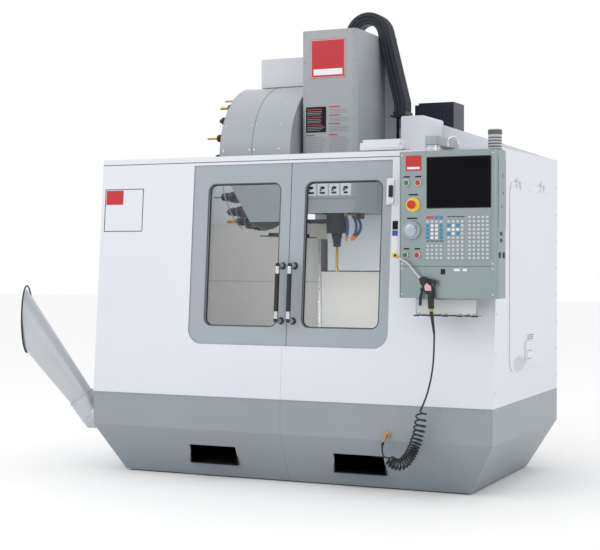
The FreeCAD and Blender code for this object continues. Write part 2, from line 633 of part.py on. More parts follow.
def spindle():
    motor = fuse(rod((0, SPINDLE_Y, 1960), (0, SPINDLE_Y, 2250), 92.0),
                 box(-100, 100, SPINDLE_Y - 85, SPINDLE_Y + 100, 1960, 1985))
    save("spindle_motor", motor)
    nose = fuse(rod((0, SPINDLE_Y, NOSE_Z + 12), (0, SPINDLE_Y, 1900), NOSE_RADIUS),
                cone((0, SPINDLE_Y, NOSE_Z), (0, SPINDLE_Y, NOSE_Z + 12), NOSE_RADIUS - 8,
                     NOSE_RADIUS),
                rod((0, SPINDLE_Y, HEAD_LOW_Z - 14), (0, SPINDLE_Y, HEAD_LOW_Z), 84.0))
    nose = nose.cut(rod((0, SPINDLE_Y, NOSE_Z - 1), (0, SPINDLE_Y, 1901), SHAFT_RADIUS + RUNNING))
    save("spindle_nose", nose)
    shaft = rod((0, SPINDLE_Y, NOSE_Z + 2), (0, SPINDLE_Y, 1960), SHAFT_RADIUS)
    flange_low = NOSE_Z - 30
    holder = fuse(rod((0, SPINDLE_Y, flange_low), (0, SPINDLE_Y, NOSE_Z + 2), HOLDER_FLANGE_R),
                  cone((0, SPINDLE_Y, NOSE_Z - HOLDER_LENGTH), (0, SPINDLE_Y, flange_low), 18.0,
                       24.0))
    groove = rod((0, SPINDLE_Y, ARM_Z - 2), (0, SPINDLE_Y, ARM_Z + ARM_PLATE + 2), 40.0)
    core = rod((0, SPINDLE_Y, ARM_Z - 2), (0, SPINDLE_Y, ARM_Z + ARM_PLATE + 2),
               HOLDER_FLANGE_R - 4)
    holder = holder.cut(groove.cut(core))
    tip_z = NOSE_Z - HOLDER_LENGTH - DRILL_LENGTH
    drill = fuse(rod((0, SPINDLE_Y, tip_z + 4), (0, SPINDLE_Y, NOSE_Z - HOLDER_LENGTH),
                     DRILL_RADIUS),
                 cone((0, SPINDLE_Y, tip_z), (0, SPINDLE_Y, tip_z + 4), 0.5, DRILL_RADIUS))
    save("spindle_tool", shaft, holder, drill)


# ---------------------------------------------------------------- tool changer
def changer_gearbox():
    arm_box = box(-400, -250, -170, BRACKET_FRONT_Y, GEARBOX_LOW_Z, 1800)
    bracket = box(-400, -COLUMN_HALF_WIDTH, BRACKET_FRONT_Y, BRACKET_BACK_Y, GEARBOX_LOW_Z,
                  GEARBOX_TOP_Z)
    snout = rod((ARM_PIVOT_X, SPINDLE_Y, 1340), (ARM_PIVOT_X, SPINDLE_Y, GEARBOX_LOW_Z), 48.0)
    axle = rod((-470, DRUM_Y, DRUM_Z), (-400, DRUM_Y, DRUM_Z), 25.0)
    snout = snout.cut(rod((ARM_PIVOT_X, SPINDLE_Y, 1339), (ARM_PIVOT_X, SPINDLE_Y, 1401),
                          20.0 + RUNNING))
    save("changer_gearbox", arm_box, bracket, snout, axle)


def change_arm():
    """A double arm with an open fork at each end, lying fore and aft at rest."""
    reach = -ARM_PIVOT_X
    plate = box(ARM_PIVOT_X - 24, ARM_PIVOT_X + 24, SPINDLE_Y - reach, SPINDLE_Y + reach, ARM_Z,
                ARM_Z + ARM_PLATE)
    spine = box(ARM_PIVOT_X - 20, ARM_PIVOT_X + 20, SPINDLE_Y - reach + 60,
                SPINDLE_Y + reach - 60, ARM_Z + ARM_PLATE, ARM_Z + 22)
    body = fuse(plate, spine, rod((ARM_PIVOT_X, SPINDLE_Y, ARM_Z - 7),
                                  (ARM_PIVOT_X, SPINDLE_Y, 1338), 38.0))
    for end in (-1, 1):
        y = SPINDLE_Y + end * reach
        ring = rod((ARM_PIVOT_X, y, ARM_Z), (ARM_PIVOT_X, y, ARM_Z + ARM_PLATE), 42.0)
        body = body.fuse(ring)
    body = body.removeSplitter()
    for end in (-1, 1):
        y = SPINDLE_Y + end * reach
        mouth = end * 60
        body = body.cut(rod((ARM_PIVOT_X, y, ARM_Z - 1), (ARM_PIVOT_X, y, ARM_Z + 8), 29.5))
        ends = sorted((ARM_PIVOT_X, ARM_PIVOT_X + mouth))
        body = body.cut(box(ends[0], ends[1], y - 29.5, y + 29.5, ARM_Z - 1, ARM_Z + 8))
    body = body.fuse(rod((ARM_PIVOT_X, SPINDLE_Y, 1338), (ARM_PIVOT_X, SPINDLE_Y, 1400), 20.0))
    save("change_arm", body.removeSplitter())


def carousel():
    """The tool drum: a plate on the axle, a pocket at each station and a tool in most of them."""
    plate_x = DRUM_LEFT_X + 97
    plate = rod((plate_x - 12, DRUM_Y, DRUM_Z), (plate_x, DRUM_Y, DRUM_Z), POCKET_CIRCLE_R + 30)
    hub = rod((plate_x, DRUM_Y, DRUM_Z), (-430, DRUM_Y, DRUM_Z), 60.0)
    bore = rod((plate_x - 13, DRUM_Y, DRUM_Z), (-429, DRUM_Y, DRUM_Z), 25.0 + RUNNING)
    pieces = [plate.cut(bore), hub.cut(bore)]
    mouth_x = plate_x - 64
    lengths = (60.0, 110.0, 85.0, 45.0, 98.0)
    for station in range(POCKET_COUNT):
        angle = math.radians(360.0 / POCKET_COUNT * station)
        y = DRUM_Y + POCKET_CIRCLE_R * math.cos(angle)
        z = DRUM_Z + POCKET_CIRCLE_R * math.sin(angle)
        cup = rod((mouth_x, y, z), (plate_x - 12, y, z), 36.0)
        pieces.append(cup.cut(rod((mouth_x - 1, y, z), (mouth_x + 22, y, z), 24.0)))
        if station % 6 == 5:
            continue
        reach = lengths[station % len(lengths)]
        holder = fuse(rod((mouth_x - 24, y, z), (mouth_x, y, z), HOLDER_FLANGE_R),
                      rod((mouth_x - 52, y, z), (mouth_x - 24, y, z), 21.0),
                      rod((mouth_x, y, z), (mouth_x + 12, y, z), 20.0),
                      rod((mouth_x - 52 - reach, y, z), (mouth_x - 52, y, z),
                          5.0 + 2.0 * (station % 3)))
        pieces.append(holder)
    save("carousel", *pieces)


def changer_shroud():
    """A round hood over the drum, open to the left, with a deeper front part and a low apron."""
    outer = rod((DRUM_LEFT_X, DRUM_Y, DRUM_Z), (DRUM_RIGHT_X, DRUM_Y, DRUM_Z), DRUM_SHROUD_R)
    deep = rod((DRUM_RIGHT_X - 1, DRUM_Y, DRUM_Z), (HOOD_RIGHT_X, DRUM_Y, DRUM_Z), DRUM_SHROUD_R)
    deep = deep.cut(box(-400, 0, HOOD_BACK_Y, 1000, 1000, 3000))
    inner = rod((DRUM_LEFT_X - 1, DRUM_Y, DRUM_Z), (DRUM_RIGHT_X - SHEET, DRUM_Y, DRUM_Z),
                DRUM_SHROUD_R - SHEET)
    inner_deep = rod((DRUM_RIGHT_X - SHEET - 1, DRUM_Y, DRUM_Z),
                     (HOOD_RIGHT_X - SHEET, DRUM_Y, DRUM_Z), DRUM_SHROUD_R - SHEET)
    inner_deep = inner_deep.cut(box(-400, 0, HOOD_BACK_Y - SHEET, 1000, 1000, 3000))
    hood = outer.fuse(deep).cut(inner.fuse(inner_deep))
    hood = hood.cut(box(DRUM_LEFT_X - 1, 0, DRUM_Y - 500, DRUM_Y + 500, 1000, DRUM_Z - 60))
    hood = hood.cut(box(-404, DRUM_RIGHT_X + 1, -174, BRACKET_FRONT_Y + 1, 1400, 1804))
    hood = hood.cut(box(-404, 0, BRACKET_FRONT_Y - 4, 1000, 1400, GEARBOX_TOP_Z + 4))
    flange = DRUM_Y - math.sqrt(DRUM_SHROUD_R ** 2 - 60 ** 2)
    apron = prism([(DRUM_LEFT_X, flange, DRUM_Z - 60), (HOOD_RIGHT_X, flange, DRUM_Z - 60),
                   (HOOD_RIGHT_X, flange, 1392), (-442, flange, 1392), (-600, flange, 1660)],
                  (0, SHEET, 0))
    bulkhead = rod((-392, DRUM_Y, DRUM_Z), (-384, DRUM_Y, DRUM_Z), DRUM_SHROUD_R - 1)
    bulkhead = bulkhead.cut(box(-400, -380, -800, BRACKET_FRONT_Y, 1000, GEARBOX_LOW_Z + 300))
    bulkhead = bulkhead.cut(box(-400, -380, BRACKET_FRONT_Y, 1000, 1000, GEARBOX_TOP_Z))
    save("changer_shroud", fuse(hood, apron, bulkhead))


# ---------------------------------------------------------------- enclosure
def skirt_block(inset):
    """The grey band and the tapered skirt as one full block, pulled in by inset."""
    left = -HALF_WIDTH + inset
    right = HALF_WIDTH - inset
    front = FRONT_Y + inset
    back = BACK_Y - inset
    band = box(left, right, front, back, CREASE_Z, BAND_TOP_Z)

    def ring(x0, x1, y0, y1, z):
        corners = [Vector(x0, y0, z), Vector(x1, y0, z), Vector(x1, y1, z), Vector(x0, y1, z)]
        return Part.makePolygon(corners + corners[:1])

    low = ring(left + SIDE_TAPER, right - SIDE_TAPER, front + FRONT_TAPER, back - REAR_TAPER,
               SKIRT_GAP)
    high = ring(left, right, front, back, CREASE_Z)
    return Part.makeLoft([low, high], True, True).fuse(band)


def skirts():
    full = skirt_block(0)
    hollow = skirt_block(SKIRT_SHEET)
    wall = full.cut(hollow)
    middle = box(-COLUMN_HALF_WIDTH - 60, COLUMN_HALF_WIDTH + 60, BACK_Y - 200, BACK_Y + 1,
                 SKIRT_GAP - 1, BAND_TOP_Z + 1)
    wide = box(-BASE_HALF_WIDTH - 4, BASE_HALF_WIDTH + 4, BACK_Y - 200, BACK_Y + 1,
               BASE_SHOULDER_Z - 4, BAND_TOP_Z + 1)
    wall = wall.cut(middle).cut(wide)
    wall = wall.cut(rod((-HALF_WIDTH - 1, AUGER_Y, AUGER_Z), (-HALF_WIDTH + 30, AUGER_Y, AUGER_Z),
                        TROUGH_RADIUS))
    wall = wall.cut(rod((FITTING_X, FRONT_Y - 1, FITTING_Z), (FITTING_X, FRONT_Y + 10, FITTING_Z),
                        7.0))
    for side in (-1, 1):
        ends = sorted((side * POCKET_NEAR_X, side * (POCKET_NEAR_X + POCKET_WIDTH)))
        wall = wall.cut(box(ends[0], ends[1], FRONT_Y - 1, BACK_Y + 1, POCKET_LOW_Z,
                            POCKET_LOW_Z + POCKET_HEIGHT))
    for side, name in ((-1, "skirt_left"), (1, "skirt_right")):
        ends = sorted((side * SEAM / 2, side * (HALF_WIDTH + 1)))
        half = wall.common(box(ends[0], ends[1], FRONT_Y - 1, BACK_Y + 1, 0, BAND_TOP_Z + 1))
        tube = sorted((side * (POCKET_NEAR_X - SHEET),
                       side * (POCKET_NEAR_X + POCKET_WIDTH + SHEET)))
        hole = sorted((side * POCKET_NEAR_X, side * (POCKET_NEAR_X + POCKET_WIDTH)))
        sleeve = box(tube[0], tube[1], FRONT_Y, BACK_Y, POCKET_LOW_Z - SHEET,
                     POCKET_LOW_Z + POCKET_HEIGHT + SHEET)
        sleeve = sleeve.cut(box(hole[0], hole[1], FRONT_Y - 1, BACK_Y + 1, POCKET_LOW_Z,
                                POCKET_LOW_Z + POCKET_HEIGHT))
        save(name, half, sleeve.common(hollow))


def front_panels():
    """Two white sheets that lean back, with the door opening cut across both."""
    top = slope_z(FRONT_TOP_Z)
    opening = rounded_plate(OPENING_LEFT_X, OPENING_RIGHT_X, slope_z(OPENING_LOW_Z),
                            slope_z(OPENING_TOP_Z), FRONT_Y - 50, FRONT_Y + 60, OPENING_CORNER,
                            "ab")
    for side, name in ((-1, "front_panel_left"), (1, "front_panel_right")):
        ends = sorted((side * SEAM / 2, side * HALF_WIDTH))
        sheet = box(ends[0], ends[1], FRONT_Y, FRONT_Y + SHEET, BAND_TOP_Z, top)
        sheet = sheet.cut(opening)
        leaning = lean(sheet)
        pieces = [leaning.common(box(-2000, 2000, -2000, 2000, BAND_TOP_Z, FRONT_TOP_Z))]
        if side > 0:
            y = lean_y(FRONT_TOP_Z)
            lamp = box(400, 640, y + 2, y + 120, FRONT_TOP_Z + 2, FRONT_TOP_Z + 28)
            pieces.append(lamp.makeFillet(12.0, lamp.Edges[:12]))
        save(name, *pieces)


def side_outline(x, z0, z1_front, z1_rear, thickness):
    return prism([(x, lean_y(z0) + SHEET + 0.2, z0), (x, BACK_Y, z0), (x, BACK_Y, z1_rear),
                  (x, lean_y(z1_front) + SHEET + 0.2, z1_front)], (thickness, 0, 0))


ACCESS_FRONT_Y = -560.0
ACCESS_BACK_Y = 200.0
ACCESS_LOW_Z = 615.0
ACCESS_TOP_Z = 1570.0
ACCESS_GAP = 3.0


def access_plate(grow, x0, x1):
    plate = box(x0, x1, ACCESS_FRONT_Y - grow, ACCESS_BACK_Y + grow, ACCESS_LOW_Z - grow,
                ACCESS_TOP_Z + grow)
    picked = []
    for edge in plate.Edges:
        a = edge.Vertexes[0].Point
        b = edge.Vertexes[-1].Point
        if abs(a.y - b.y) < 0.01 and abs(a.z - b.z) < 0.01:
            picked.append(edge)
    return plate.makeFillet(60.0 + grow, picked)


def side_panels():
    left = side_outline(-HALF_WIDTH, BAND_TOP_Z, FRONT_TOP_Z, REAR_TOP_Z, SHEET)
    save("left_side_panel", left)
    right = side_outline(HALF_WIDTH - SHEET, BAND_TOP_Z, FRONT_TOP_Z, REAR_TOP_Z, SHEET)
    right = right.cut(access_plate(0, HALF_WIDTH - SHEET - 1, HALF_WIDTH + 1))
    hinge_y = (ACCESS_FRONT_Y + 120, ACCESS_BACK_Y - 160)
    knuckles = []
    for y in hinge_y:
        leaf = box(HALF_WIDTH, HALF_WIDTH + 2, y, y + 40, ACCESS_TOP_Z + 12, ACCESS_TOP_Z + 34)
        knuckle = rod((HALF_WIDTH + 8, y, ACCESS_TOP_Z + 14), (HALF_WIDTH + 8, y + 40,
                                                               ACCESS_TOP_Z + 14), 6.0)
        knuckle = knuckle.cut(rod((HALF_WIDTH + 8, y - 1, ACCESS_TOP_Z + 14),
                                  (HALF_WIDTH + 8, y + 41, ACCESS_TOP_Z + 14), 3.0 + RUNNING))
        bridge = box(HALF_WIDTH + 2, HALF_WIDTH + 5, y, y + 40, ACCESS_TOP_Z + 14,
                     ACCESS_TOP_Z + 24)
        bridge = bridge.cut(rod((HALF_WIDTH + 8, y - 1, ACCESS_TOP_Z + 14),
                                (HALF_WIDTH + 8, y + 41, ACCESS_TOP_Z + 14), 5.0))
        knuckles.append(fuse(leaf, bridge, knuckle))
    save("right_side_panel", right, *knuckles)


def access_door():
    """The flap in the right side, hinged along its top, with a paddle latch low down."""
    x = HALF_WIDTH
    plate = access_plate(12.0, x + 1, x + 4)
    plate = plate.cut(box(x, x + 5, ACCESS_FRONT_Y - 20, ACCESS_BACK_Y + 20, ACCESS_TOP_Z + 6,
                          ACCESS_TOP_Z + 20))
    door = plate
    for y in (ACCESS_FRONT_Y + 120, ACCESS_BACK_Y - 160):
        for shift in (-22, 42):
            leaf = box(x + 4, x + 11, y + shift, y + shift + 20, ACCESS_TOP_Z - 20,
                       ACCESS_TOP_Z + 14)
            knuckle = rod((x + 8, y + shift, ACCESS_TOP_Z + 14),
                          (x + 8, y + shift + 20, ACCESS_TOP_Z + 14), 6.0)
            door = door.fuse([leaf, knuckle])
        door = door.fuse(rod((x + 8, y - 22, ACCESS_TOP_Z + 14), (x + 8, y + 62,
                                                                  ACCESS_TOP_Z + 14), 3.0))
    latch = box(x + 4, x + 14, -295, -165, 638, 748)
    latch = latch.cut(box(x + 6, x + 15, -275, -185, 655, 700))
    save("access_door", fuse(door, latch))


def rear_panel():
    """The back wall of the enclosure: it rises to the right of the column and has a box beside it."""
    x = HALF_WIDTH - SHEET
    outline = [(-x, BACK_Y - SHEET, BAND_TOP_Z), (x, BACK_Y - SHEET, BAND_TOP_Z),
               (x, BACK_Y - SHEET, REAR_TOP_Z), (REAR_PEAK_X, BACK_Y - SHEET, REAR_PEAK_Z),
               (REAR_PEAK_X - 60, BACK_Y - SHEET, REAR_PEAK_Z),
               (REAR_PEAK_X - 60, BACK_Y - SHEET, REAR_TOP_Z), (-x, BACK_Y - SHEET, REAR_TOP_Z)]
    wall = prism(outline, (0, SHEET, 0))
    gap = HEAD_FLANGE_X + 4
    wall = wall.cut(box(-gap, gap, BACK_Y - 10, BACK_Y + 1, BAND_TOP_Z - 1, REAR_PEAK_Z))
    wall = wall.cut(box(-404, -gap + 1, BACK_Y - 10, BACK_Y + 1, GEARBOX_LOW_Z - 10, REAR_TOP_Z + 1))
    wall = wall.cut(box(DRUM_LEFT_X - 130, -gap + 1, BACK_Y - 10, BACK_Y + 1, 1400, REAR_TOP_Z + 1))
    junction = box(324, 468, 75, BACK_Y - SHEET, 1770, 2000)
    picked = []
    for edge in junction.Edges:
        a = edge.Vertexes[0].Point
        b = edge.Vertexes[-1].Point
        if abs(a.z - 2000) < 0.01 and abs(b.z - 2000) < 0.01 and abs(a.x - b.x) < 0.01:
            picked.append(edge)
    junction = junction.makeFillet(14.0, picked)
    save("rear_panel", wall, junction)


def splash_panels():
    """Sheets inside the work area: back walls, the column's lower front and its cheeks."""
    inner = 262.0
    back = BACK_Y - SHEET
    edge = HALF_WIDTH - SKIRT_SHEET
    left = box(-edge, -inner, back - 9, back - 6, TRAY_Z + SHEET, 1390)
    left_trim = box(-edge, -inner, back - 12, back, 1390, 1402)
    right = box(inner, edge, back - 9, back - 6, TRAY_Z + SHEET, 1310)
    right_lip = box(inner, edge, back - 9, back, 1310, 1313)
    low = box(-inner, inner, COLUMN_FRONT_Y - 6, COLUMN_FRONT_Y - 3, RAIL_BASE_Z + 150, 742)
    shelf = box(-inner, inner, HEAD_BACK_Y - 2, COLUMN_FRONT_Y - 3, 742, 745)
    high = box(SHEET - inner, inner - SHEET, HEAD_BACK_Y - 2, HEAD_BACK_Y + 1, 745, 1105)
    cheeks = []
    for side in (-1, 1):
        ends = sorted((side * inner, side * (inner - SHEET)))
        cheeks.append(box(ends[0], ends[1], HEAD_BACK_Y - 2, back - 6, 745, 1300))
        cheeks.append(box(ends[0], ends[1], COLUMN_FRONT_Y - 3, back - 6, BASE_TOP_Z + 180, 745))
    save("splash_panels", fuse(left, left_trim), fuse(right, right_lip), low, shelf, high,
         *cheeks, *way_cover_fixed())


def chip_pan():
    """Trays either side of the bed, and the round-bottomed trough that the auger turns in."""
    trays = []
    for side in (-1, 1):
        ends = sorted((side * BASE_HALF_WIDTH, side * (HALF_WIDTH - SKIRT_SHEET)))
        tray = box(ends[0], ends[1], AUGER_Y + TROUGH_RADIUS + SHEET, BACK_Y - SKIRT_SHEET,
                   TRAY_Z, TRAY_Z + SHEET)
        lip = sorted((side * BASE_HALF_WIDTH, side * (BASE_HALF_WIDTH + SHEET)))
        trays.append(tray.fuse(box(lip[0], lip[1], AUGER_Y + TROUGH_RADIUS + SHEET,
                                   BACK_Y - SKIRT_SHEET, BASE_TOP_Z - 60, TRAY_Z)))
    outer_r = TROUGH_RADIUS + SHEET
    trough = box(-1140, 1040, AUGER_Y - outer_r, AUGER_Y + outer_r, AUGER_Z, TRAY_Z + SHEET)
    trough = trough.fuse(rod((-1140, AUGER_Y, AUGER_Z), (1040, AUGER_Y, AUGER_Z), outer_r))
    trough = trough.cut(rod((-1141, AUGER_Y, AUGER_Z), (1041, AUGER_Y, AUGER_Z), TROUGH_RADIUS))
    trough = trough.cut(box(-1141, 1041, AUGER_Y - TROUGH_RADIUS, AUGER_Y + TROUGH_RADIUS,
                            AUGER_Z, TRAY_Z + SHEET + 1))
    end_plate = box(1040, 1043, AUGER_Y - outer_r, AUGER_Y + outer_r, AUGER_Z - 52,
                    TRAY_Z + SHEET)
    end_plate = end_plate.cut(rod((1039, AUGER_Y, AUGER_Z), (1044, AUGER_Y, AUGER_Z),
                                  20.0 + RUNNING))
    motor_gap = box(-56, 56, AUGER_Y + TROUGH_RADIUS - 1, AUGER_Y + outer_r + 1, Y_SCREW_Z - 56,
                    TRAY_Z + SHEET + 1)
    walls_area = box(-1141, 1040, AUGER_Y - outer_r - 1, AUGER_Y + outer_r + 1, AUGER_Z,
                     TRAY_Z + SHEET + 1)
    trough = trough.cut(motor_gap).common(skirt_block(SKIRT_SHEET + 0.5))
    end_plate = end_plate.cut(motor_gap).common(skirt_block(SKIRT_SHEET + 0.5))
    save("chip_pan", *trays, trough.cut(walls_area), trough.common(walls_area), end_plate)


def auger():
    """A shaft with a helical flight."""
    x0 = -1120.0
    length = 2140.0
    helix = Part.makeLongHelix(AUGER_PITCH, length, AUGER_RADIUS - 24)
    profile = Part.makePolygon([Vector(17, 0, -2), Vector(AUGER_RADIUS, 0, -2),
                                Vector(AUGER_RADIUS, 0, 2), Vector(17, 0, 2), Vector(17, 0, -2)])
    flight = Part.Wire(helix).makePipeShell([profile], True, True)
    flight.rotate(Vector(0, 0, 0), Vector(0, 1, 0), 90)
    flight.translate(Vector(x0, AUGER_Y, AUGER_Z))
    shaft = rod((x0 - 10, AUGER_Y, AUGER_Z), (1043, AUGER_Y, AUGER_Z), 20.0)
    flight = flight.cut(rod((x0 - 50, AUGER_Y, AUGER_Z), (1100, AUGER_Y, AUGER_Z), 20.0))
    save("auger", shaft, max(flight.Solids, key=lambda solid: solid.Volume))


def chip_chute():
    """A tapering hood that carries chips up and out of the left side, and its elbow."""
    knee = Vector(-HALF_WIDTH - CHUTE_KNEE, AUGER_Y, AUGER_Z)
    along = Vector(-CHUTE_REACH, CHUTE_SWING, CHUTE_RISE)
    unit = Vector(along)
    unit.normalize()
    joint = knee + unit * CHUTE_COLLAR
    beyond = knee + unit * (along.Length + 260)
    grow = (CHUTE_HIGH_R - CHUTE_LOW_R) / along.Length
    high_r = CHUTE_LOW_R + grow * (beyond - joint).Length
    hood = cone(tuple(joint), tuple(beyond), CHUTE_LOW_R, high_r)
    hood = hood.cut(cone(tuple(joint), tuple(beyond), CHUTE_LOW_R - CHUTE_WALL,
                         high_r - CHUTE_WALL))
    swing = math.degrees(math.atan2(CHUTE_SWING, -CHUTE_REACH))
    keep = Part.makeBox(1200, 1600, 1600, Vector(0, -800, -800))
    keep.rotate(Vector(0, 0, 0), Vector(0, 0, 1), swing + 180)
    keep.translate(knee + along)
    hood = hood.common(keep)
    elbow_r = CHUTE_LOW_R + 6
    bore_r = CHUTE_LOW_R - CHUTE_WALL
    level = tuple(knee + Vector(-200, 0, 0))
    wall = (-HALF_WIDTH, AUGER_Y, AUGER_Z)
    mitre = Vector(-1, 0, 0) + unit
    mitre.normalize()
    lower = rod(wall, level, elbow_r).cut(rod(wall, level, bore_r))
    lower = lower.cut(Part.makeCylinder(500, 500, knee, mitre))
    upper_start = tuple(knee - unit * 200)
    upper = rod(upper_start, tuple(joint), elbow_r).cut(rod(upper_start, tuple(joint), bore_r))
    upper = upper.cut(Part.makeCylinder(500, 500, knee, mitre * -1))
    collar = lower.fuse(upper)
    save("chip_chute", hood, collar)


# ---------------------------------------------------------------- doors
def door(name, x0, x1, window_x, handle_x):
    face = FRONT_Y + SHEET + DOOR_GAP
    back = face + DOOR_THICKNESS
    low = slope_z(OPENING_LOW_Z - DOOR_LAP)
    top = slope_z(OPENING_TOP_Z + 12)
    frame = box(x0, x1, face, back, low, top)
    hole = rounded_plate(window_x, window_x + WINDOW_WIDTH, slope_z(WINDOW_LOW_Z),
                         slope_z(WINDOW_TOP_Z), face - 1, back + 1, WINDOW_CORNER)
    frame = frame.cut(hole)
    wheels = []
    for x in (x0 + 80, x1 - 80):
        stem = box(x - 15, x + 15, face + 8, face + 14, top, top + TRACK_Z + WHEEL_R)
        frame = frame.fuse(stem)
        axle_z = top + TRACK_Z + WHEEL_R + 0.3
        wheels.append(rod((x, face + 14, axle_z), (x, face + 24, axle_z), WHEEL_R))
    save(name + "_door", lean(frame.removeSplitter()), *[lean(w) for w in wheels])
    pane = rounded_plate(window_x - PANE_LAP, window_x + WINDOW_WIDTH + PANE_LAP,
                         slope_z(WINDOW_LOW_Z) - PANE_LAP, slope_z(WINDOW_TOP_Z) + PANE_LAP, back,
                         back + PANE, WINDOW_CORNER)
    save(name + "_window", lean(pane))
    z_low = slope_z(HANDLE_LOW_Z)
    z_high = z_low + HANDLE_SPACING
    bar_y = face - HANDLE_STANDOFF
    handle = rod((handle_x, bar_y, z_low), (handle_x, bar_y, z_high), HANDLE_RADIUS)
    for z in (z_low, z_high):
        handle = handle.fuse([rod((handle_x, face, z), (handle_x, bar_y, z), 9.0),
                              Part.makeSphere(HANDLE_RADIUS, Vector(handle_x, bar_y, z)),
                              rod((handle_x, face, z), (handle_x, face - 5, z), 17.0)])
    save(name + "_handle", lean(handle.removeSplitter()))


def doors():
    door("left", OPENING_LEFT_X - DOOR_LAP, DOOR_SEAM_X - DOOR_SEAM_GAP / 2, LEFT_WINDOW_X,
         DOOR_SEAM_X - HANDLE_OFFSET)
    door("right", DOOR_SEAM_X + DOOR_SEAM_GAP / 2, OPENING_RIGHT_X + DOOR_LAP, RIGHT_WINDOW_X,
         DOOR_SEAM_X + HANDLE_OFFSET)


def door_tracks():
    """The rail that the door wheels hang on, the header beam that carries it, the low guide."""
    face = FRONT_Y + SHEET + DOOR_GAP
    top = slope_z(OPENING_TOP_Z + 12)
    rail = box(-INNER_X, INNER_X, face + 14.5, face + 34, top + TRACK_Z - 6, top + TRACK_Z)
    web = box(-INNER_X, INNER_X, face + 28, face + 42, top + TRACK_Z - 6, top + TRACK_Z + 12)
    track = lean(fuse(rail, web))
    y = lean_y(OPENING_TOP_Z) + SHEET + DOOR_GAP + 40
    beam = box(-INNER_X, INNER_X, y, y + 34, OPENING_TOP_Z - 4, FRONT_TOP_Z + 2)
    low = slope_z(OPENING_LOW_Z - DOOR_LAP)
    guide = box(-INNER_X, INNER_X, face, face + DOOR_THICKNESS + 4, low - 8, low - 2)
    lip = box(-INNER_X, INNER_X, face + DOOR_THICKNESS + 1, face + DOOR_THICKNESS + 4, low - 2,
              low + 10)
    foot = box(-INNER_X, INNER_X, FRONT_Y + SHEET, face, low - 8, low - 5)
    save("door_tracks", fuse(track, beam), lean(fuse(guide, lip, foot)))


# ---------------------------------------------------------------- services
def control_cabinet():
    body = box(-480, 560, BASE_HALF_LENGTH, BASE_HALF_LENGTH + 225, 500, 1850)
    cage = box(190, 440, BASE_HALF_LENGTH + 10, BASE_HALF_LENGTH + 215, 1850, 2140)
    cage = cage.cut(box(193, 437, BASE_HALF_LENGTH + 13, BASE_HALF_LENGTH + 212, 1853, 2137))
    step = box(190, 215, BASE_HALF_LENGTH + 9, BASE_HALF_LENGTH + 216, 2128, 2141)
    save("control_cabinet", body, cage.cut(step))


def coolant_tank():
    tank = box(-985, -600, -560, 200, 2, 232)
    tank = tank.cut(box(-981, -604, -556, 196, 6, 233))
    lid = box(-985, -600, -560, 200, 232, 235)
    lid = lid.cut(rod((-700, 0, 231), (-700, 0, 236), 45.3))
    lid = lid.cut(box(-945, -645, -540, -430, 231, 236))
    feet = []
    for x in (-960, -625):
        for y in (-530, 170):
            feet.append(rod((x, y, 0), (x, y, 2), 15.0))
    pump = fuse(rod((-700, 0, 60), (-700, 0, 235), 45.0), rod((-700, 0, 235), (-700, 0, 380), 58.0))
    save("coolant_tank", fuse(tank, *feet), lid, pump)


def cable_carrier():
    """The arch of covered cables from the top of the head over to a bracket beside the column."""
    width = CHAIN_HIGH_Y - CHAIN_LOW_Y
    centre = Vector(CHAIN_START_X + CHAIN_ARCH_R, CHAIN_LOW_Y, HEAD_COVER_TOP_Z + 8)
    far = centre + Vector(0, width, 0)
    ring = rod(tuple(centre), tuple(far), CHAIN_ARCH_R + CHAIN_HALF)
    ring = ring.cut(rod(tuple(centre), tuple(far), CHAIN_ARCH_R - CHAIN_HALF))
    ring = ring.common(box(-300, 500, CHAIN_LOW_Y, CHAIN_HIGH_Y, centre.z, centre.z + 300))
    slant = math.radians(CHAIN_SLANT)
    beyond = Part.makeBox(1000, width, 1000, Vector(0, 0, -1000))
    beyond.rotate(Vector(0, 0, 0), Vector(0, 1, 0), -CHAIN_SLANT)
    beyond.translate(centre)
    ring = ring.cut(beyond)
    riser = box(CHAIN_START_X - CHAIN_HALF, CHAIN_START_X + CHAIN_HALF, CHAIN_LOW_Y,
                CHAIN_HIGH_Y, HEAD_COVER_TOP_Z, centre.z)
    start_x = centre.x + CHAIN_ARCH_R * math.cos(slant)
    start_z = centre.z + CHAIN_ARCH_R * math.sin(slant)
    end_z = start_z - (CHAIN_END_X - start_x) / math.tan(slant)
    across_x = CHAIN_HALF * math.cos(slant)
    across_z = CHAIN_HALF * math.sin(slant)
    bend = CHAIN_HALF * math.tan(slant / 2)
    band = prism([(start_x - across_x, CHAIN_LOW_Y, start_z - across_z),
                  (start_x + across_x, CHAIN_LOW_Y, start_z + across_z),
                  (CHAIN_END_X + CHAIN_HALF, CHAIN_LOW_Y, end_z + bend),
                  (CHAIN_END_X + CHAIN_HALF, CHAIN_LOW_Y, CHAIN_END_Z),
                  (CHAIN_END_X - CHAIN_HALF, CHAIN_LOW_Y, CHAIN_END_Z),
                  (CHAIN_END_X - CHAIN_HALF, CHAIN_LOW_Y, end_z - bend)], (0, width, 0))
    shelf = box(HEAD_FLANGE_X, CHAIN_END_X + CHAIN_HALF, CHAIN_LOW_Y, COLUMN_PAD_Y + 40,
                CHAIN_END_Z - 8, CHAIN_END_Z)
    rib = box(HEAD_FLANGE_X, CHAIN_END_X, COLUMN_PAD_Y - 8, COLUMN_PAD_Y, CHAIN_END_Z - 60,
              CHAIN_END_Z - 8)
    save("cable_carrier", fuse(riser, ring, band, shelf, rib))


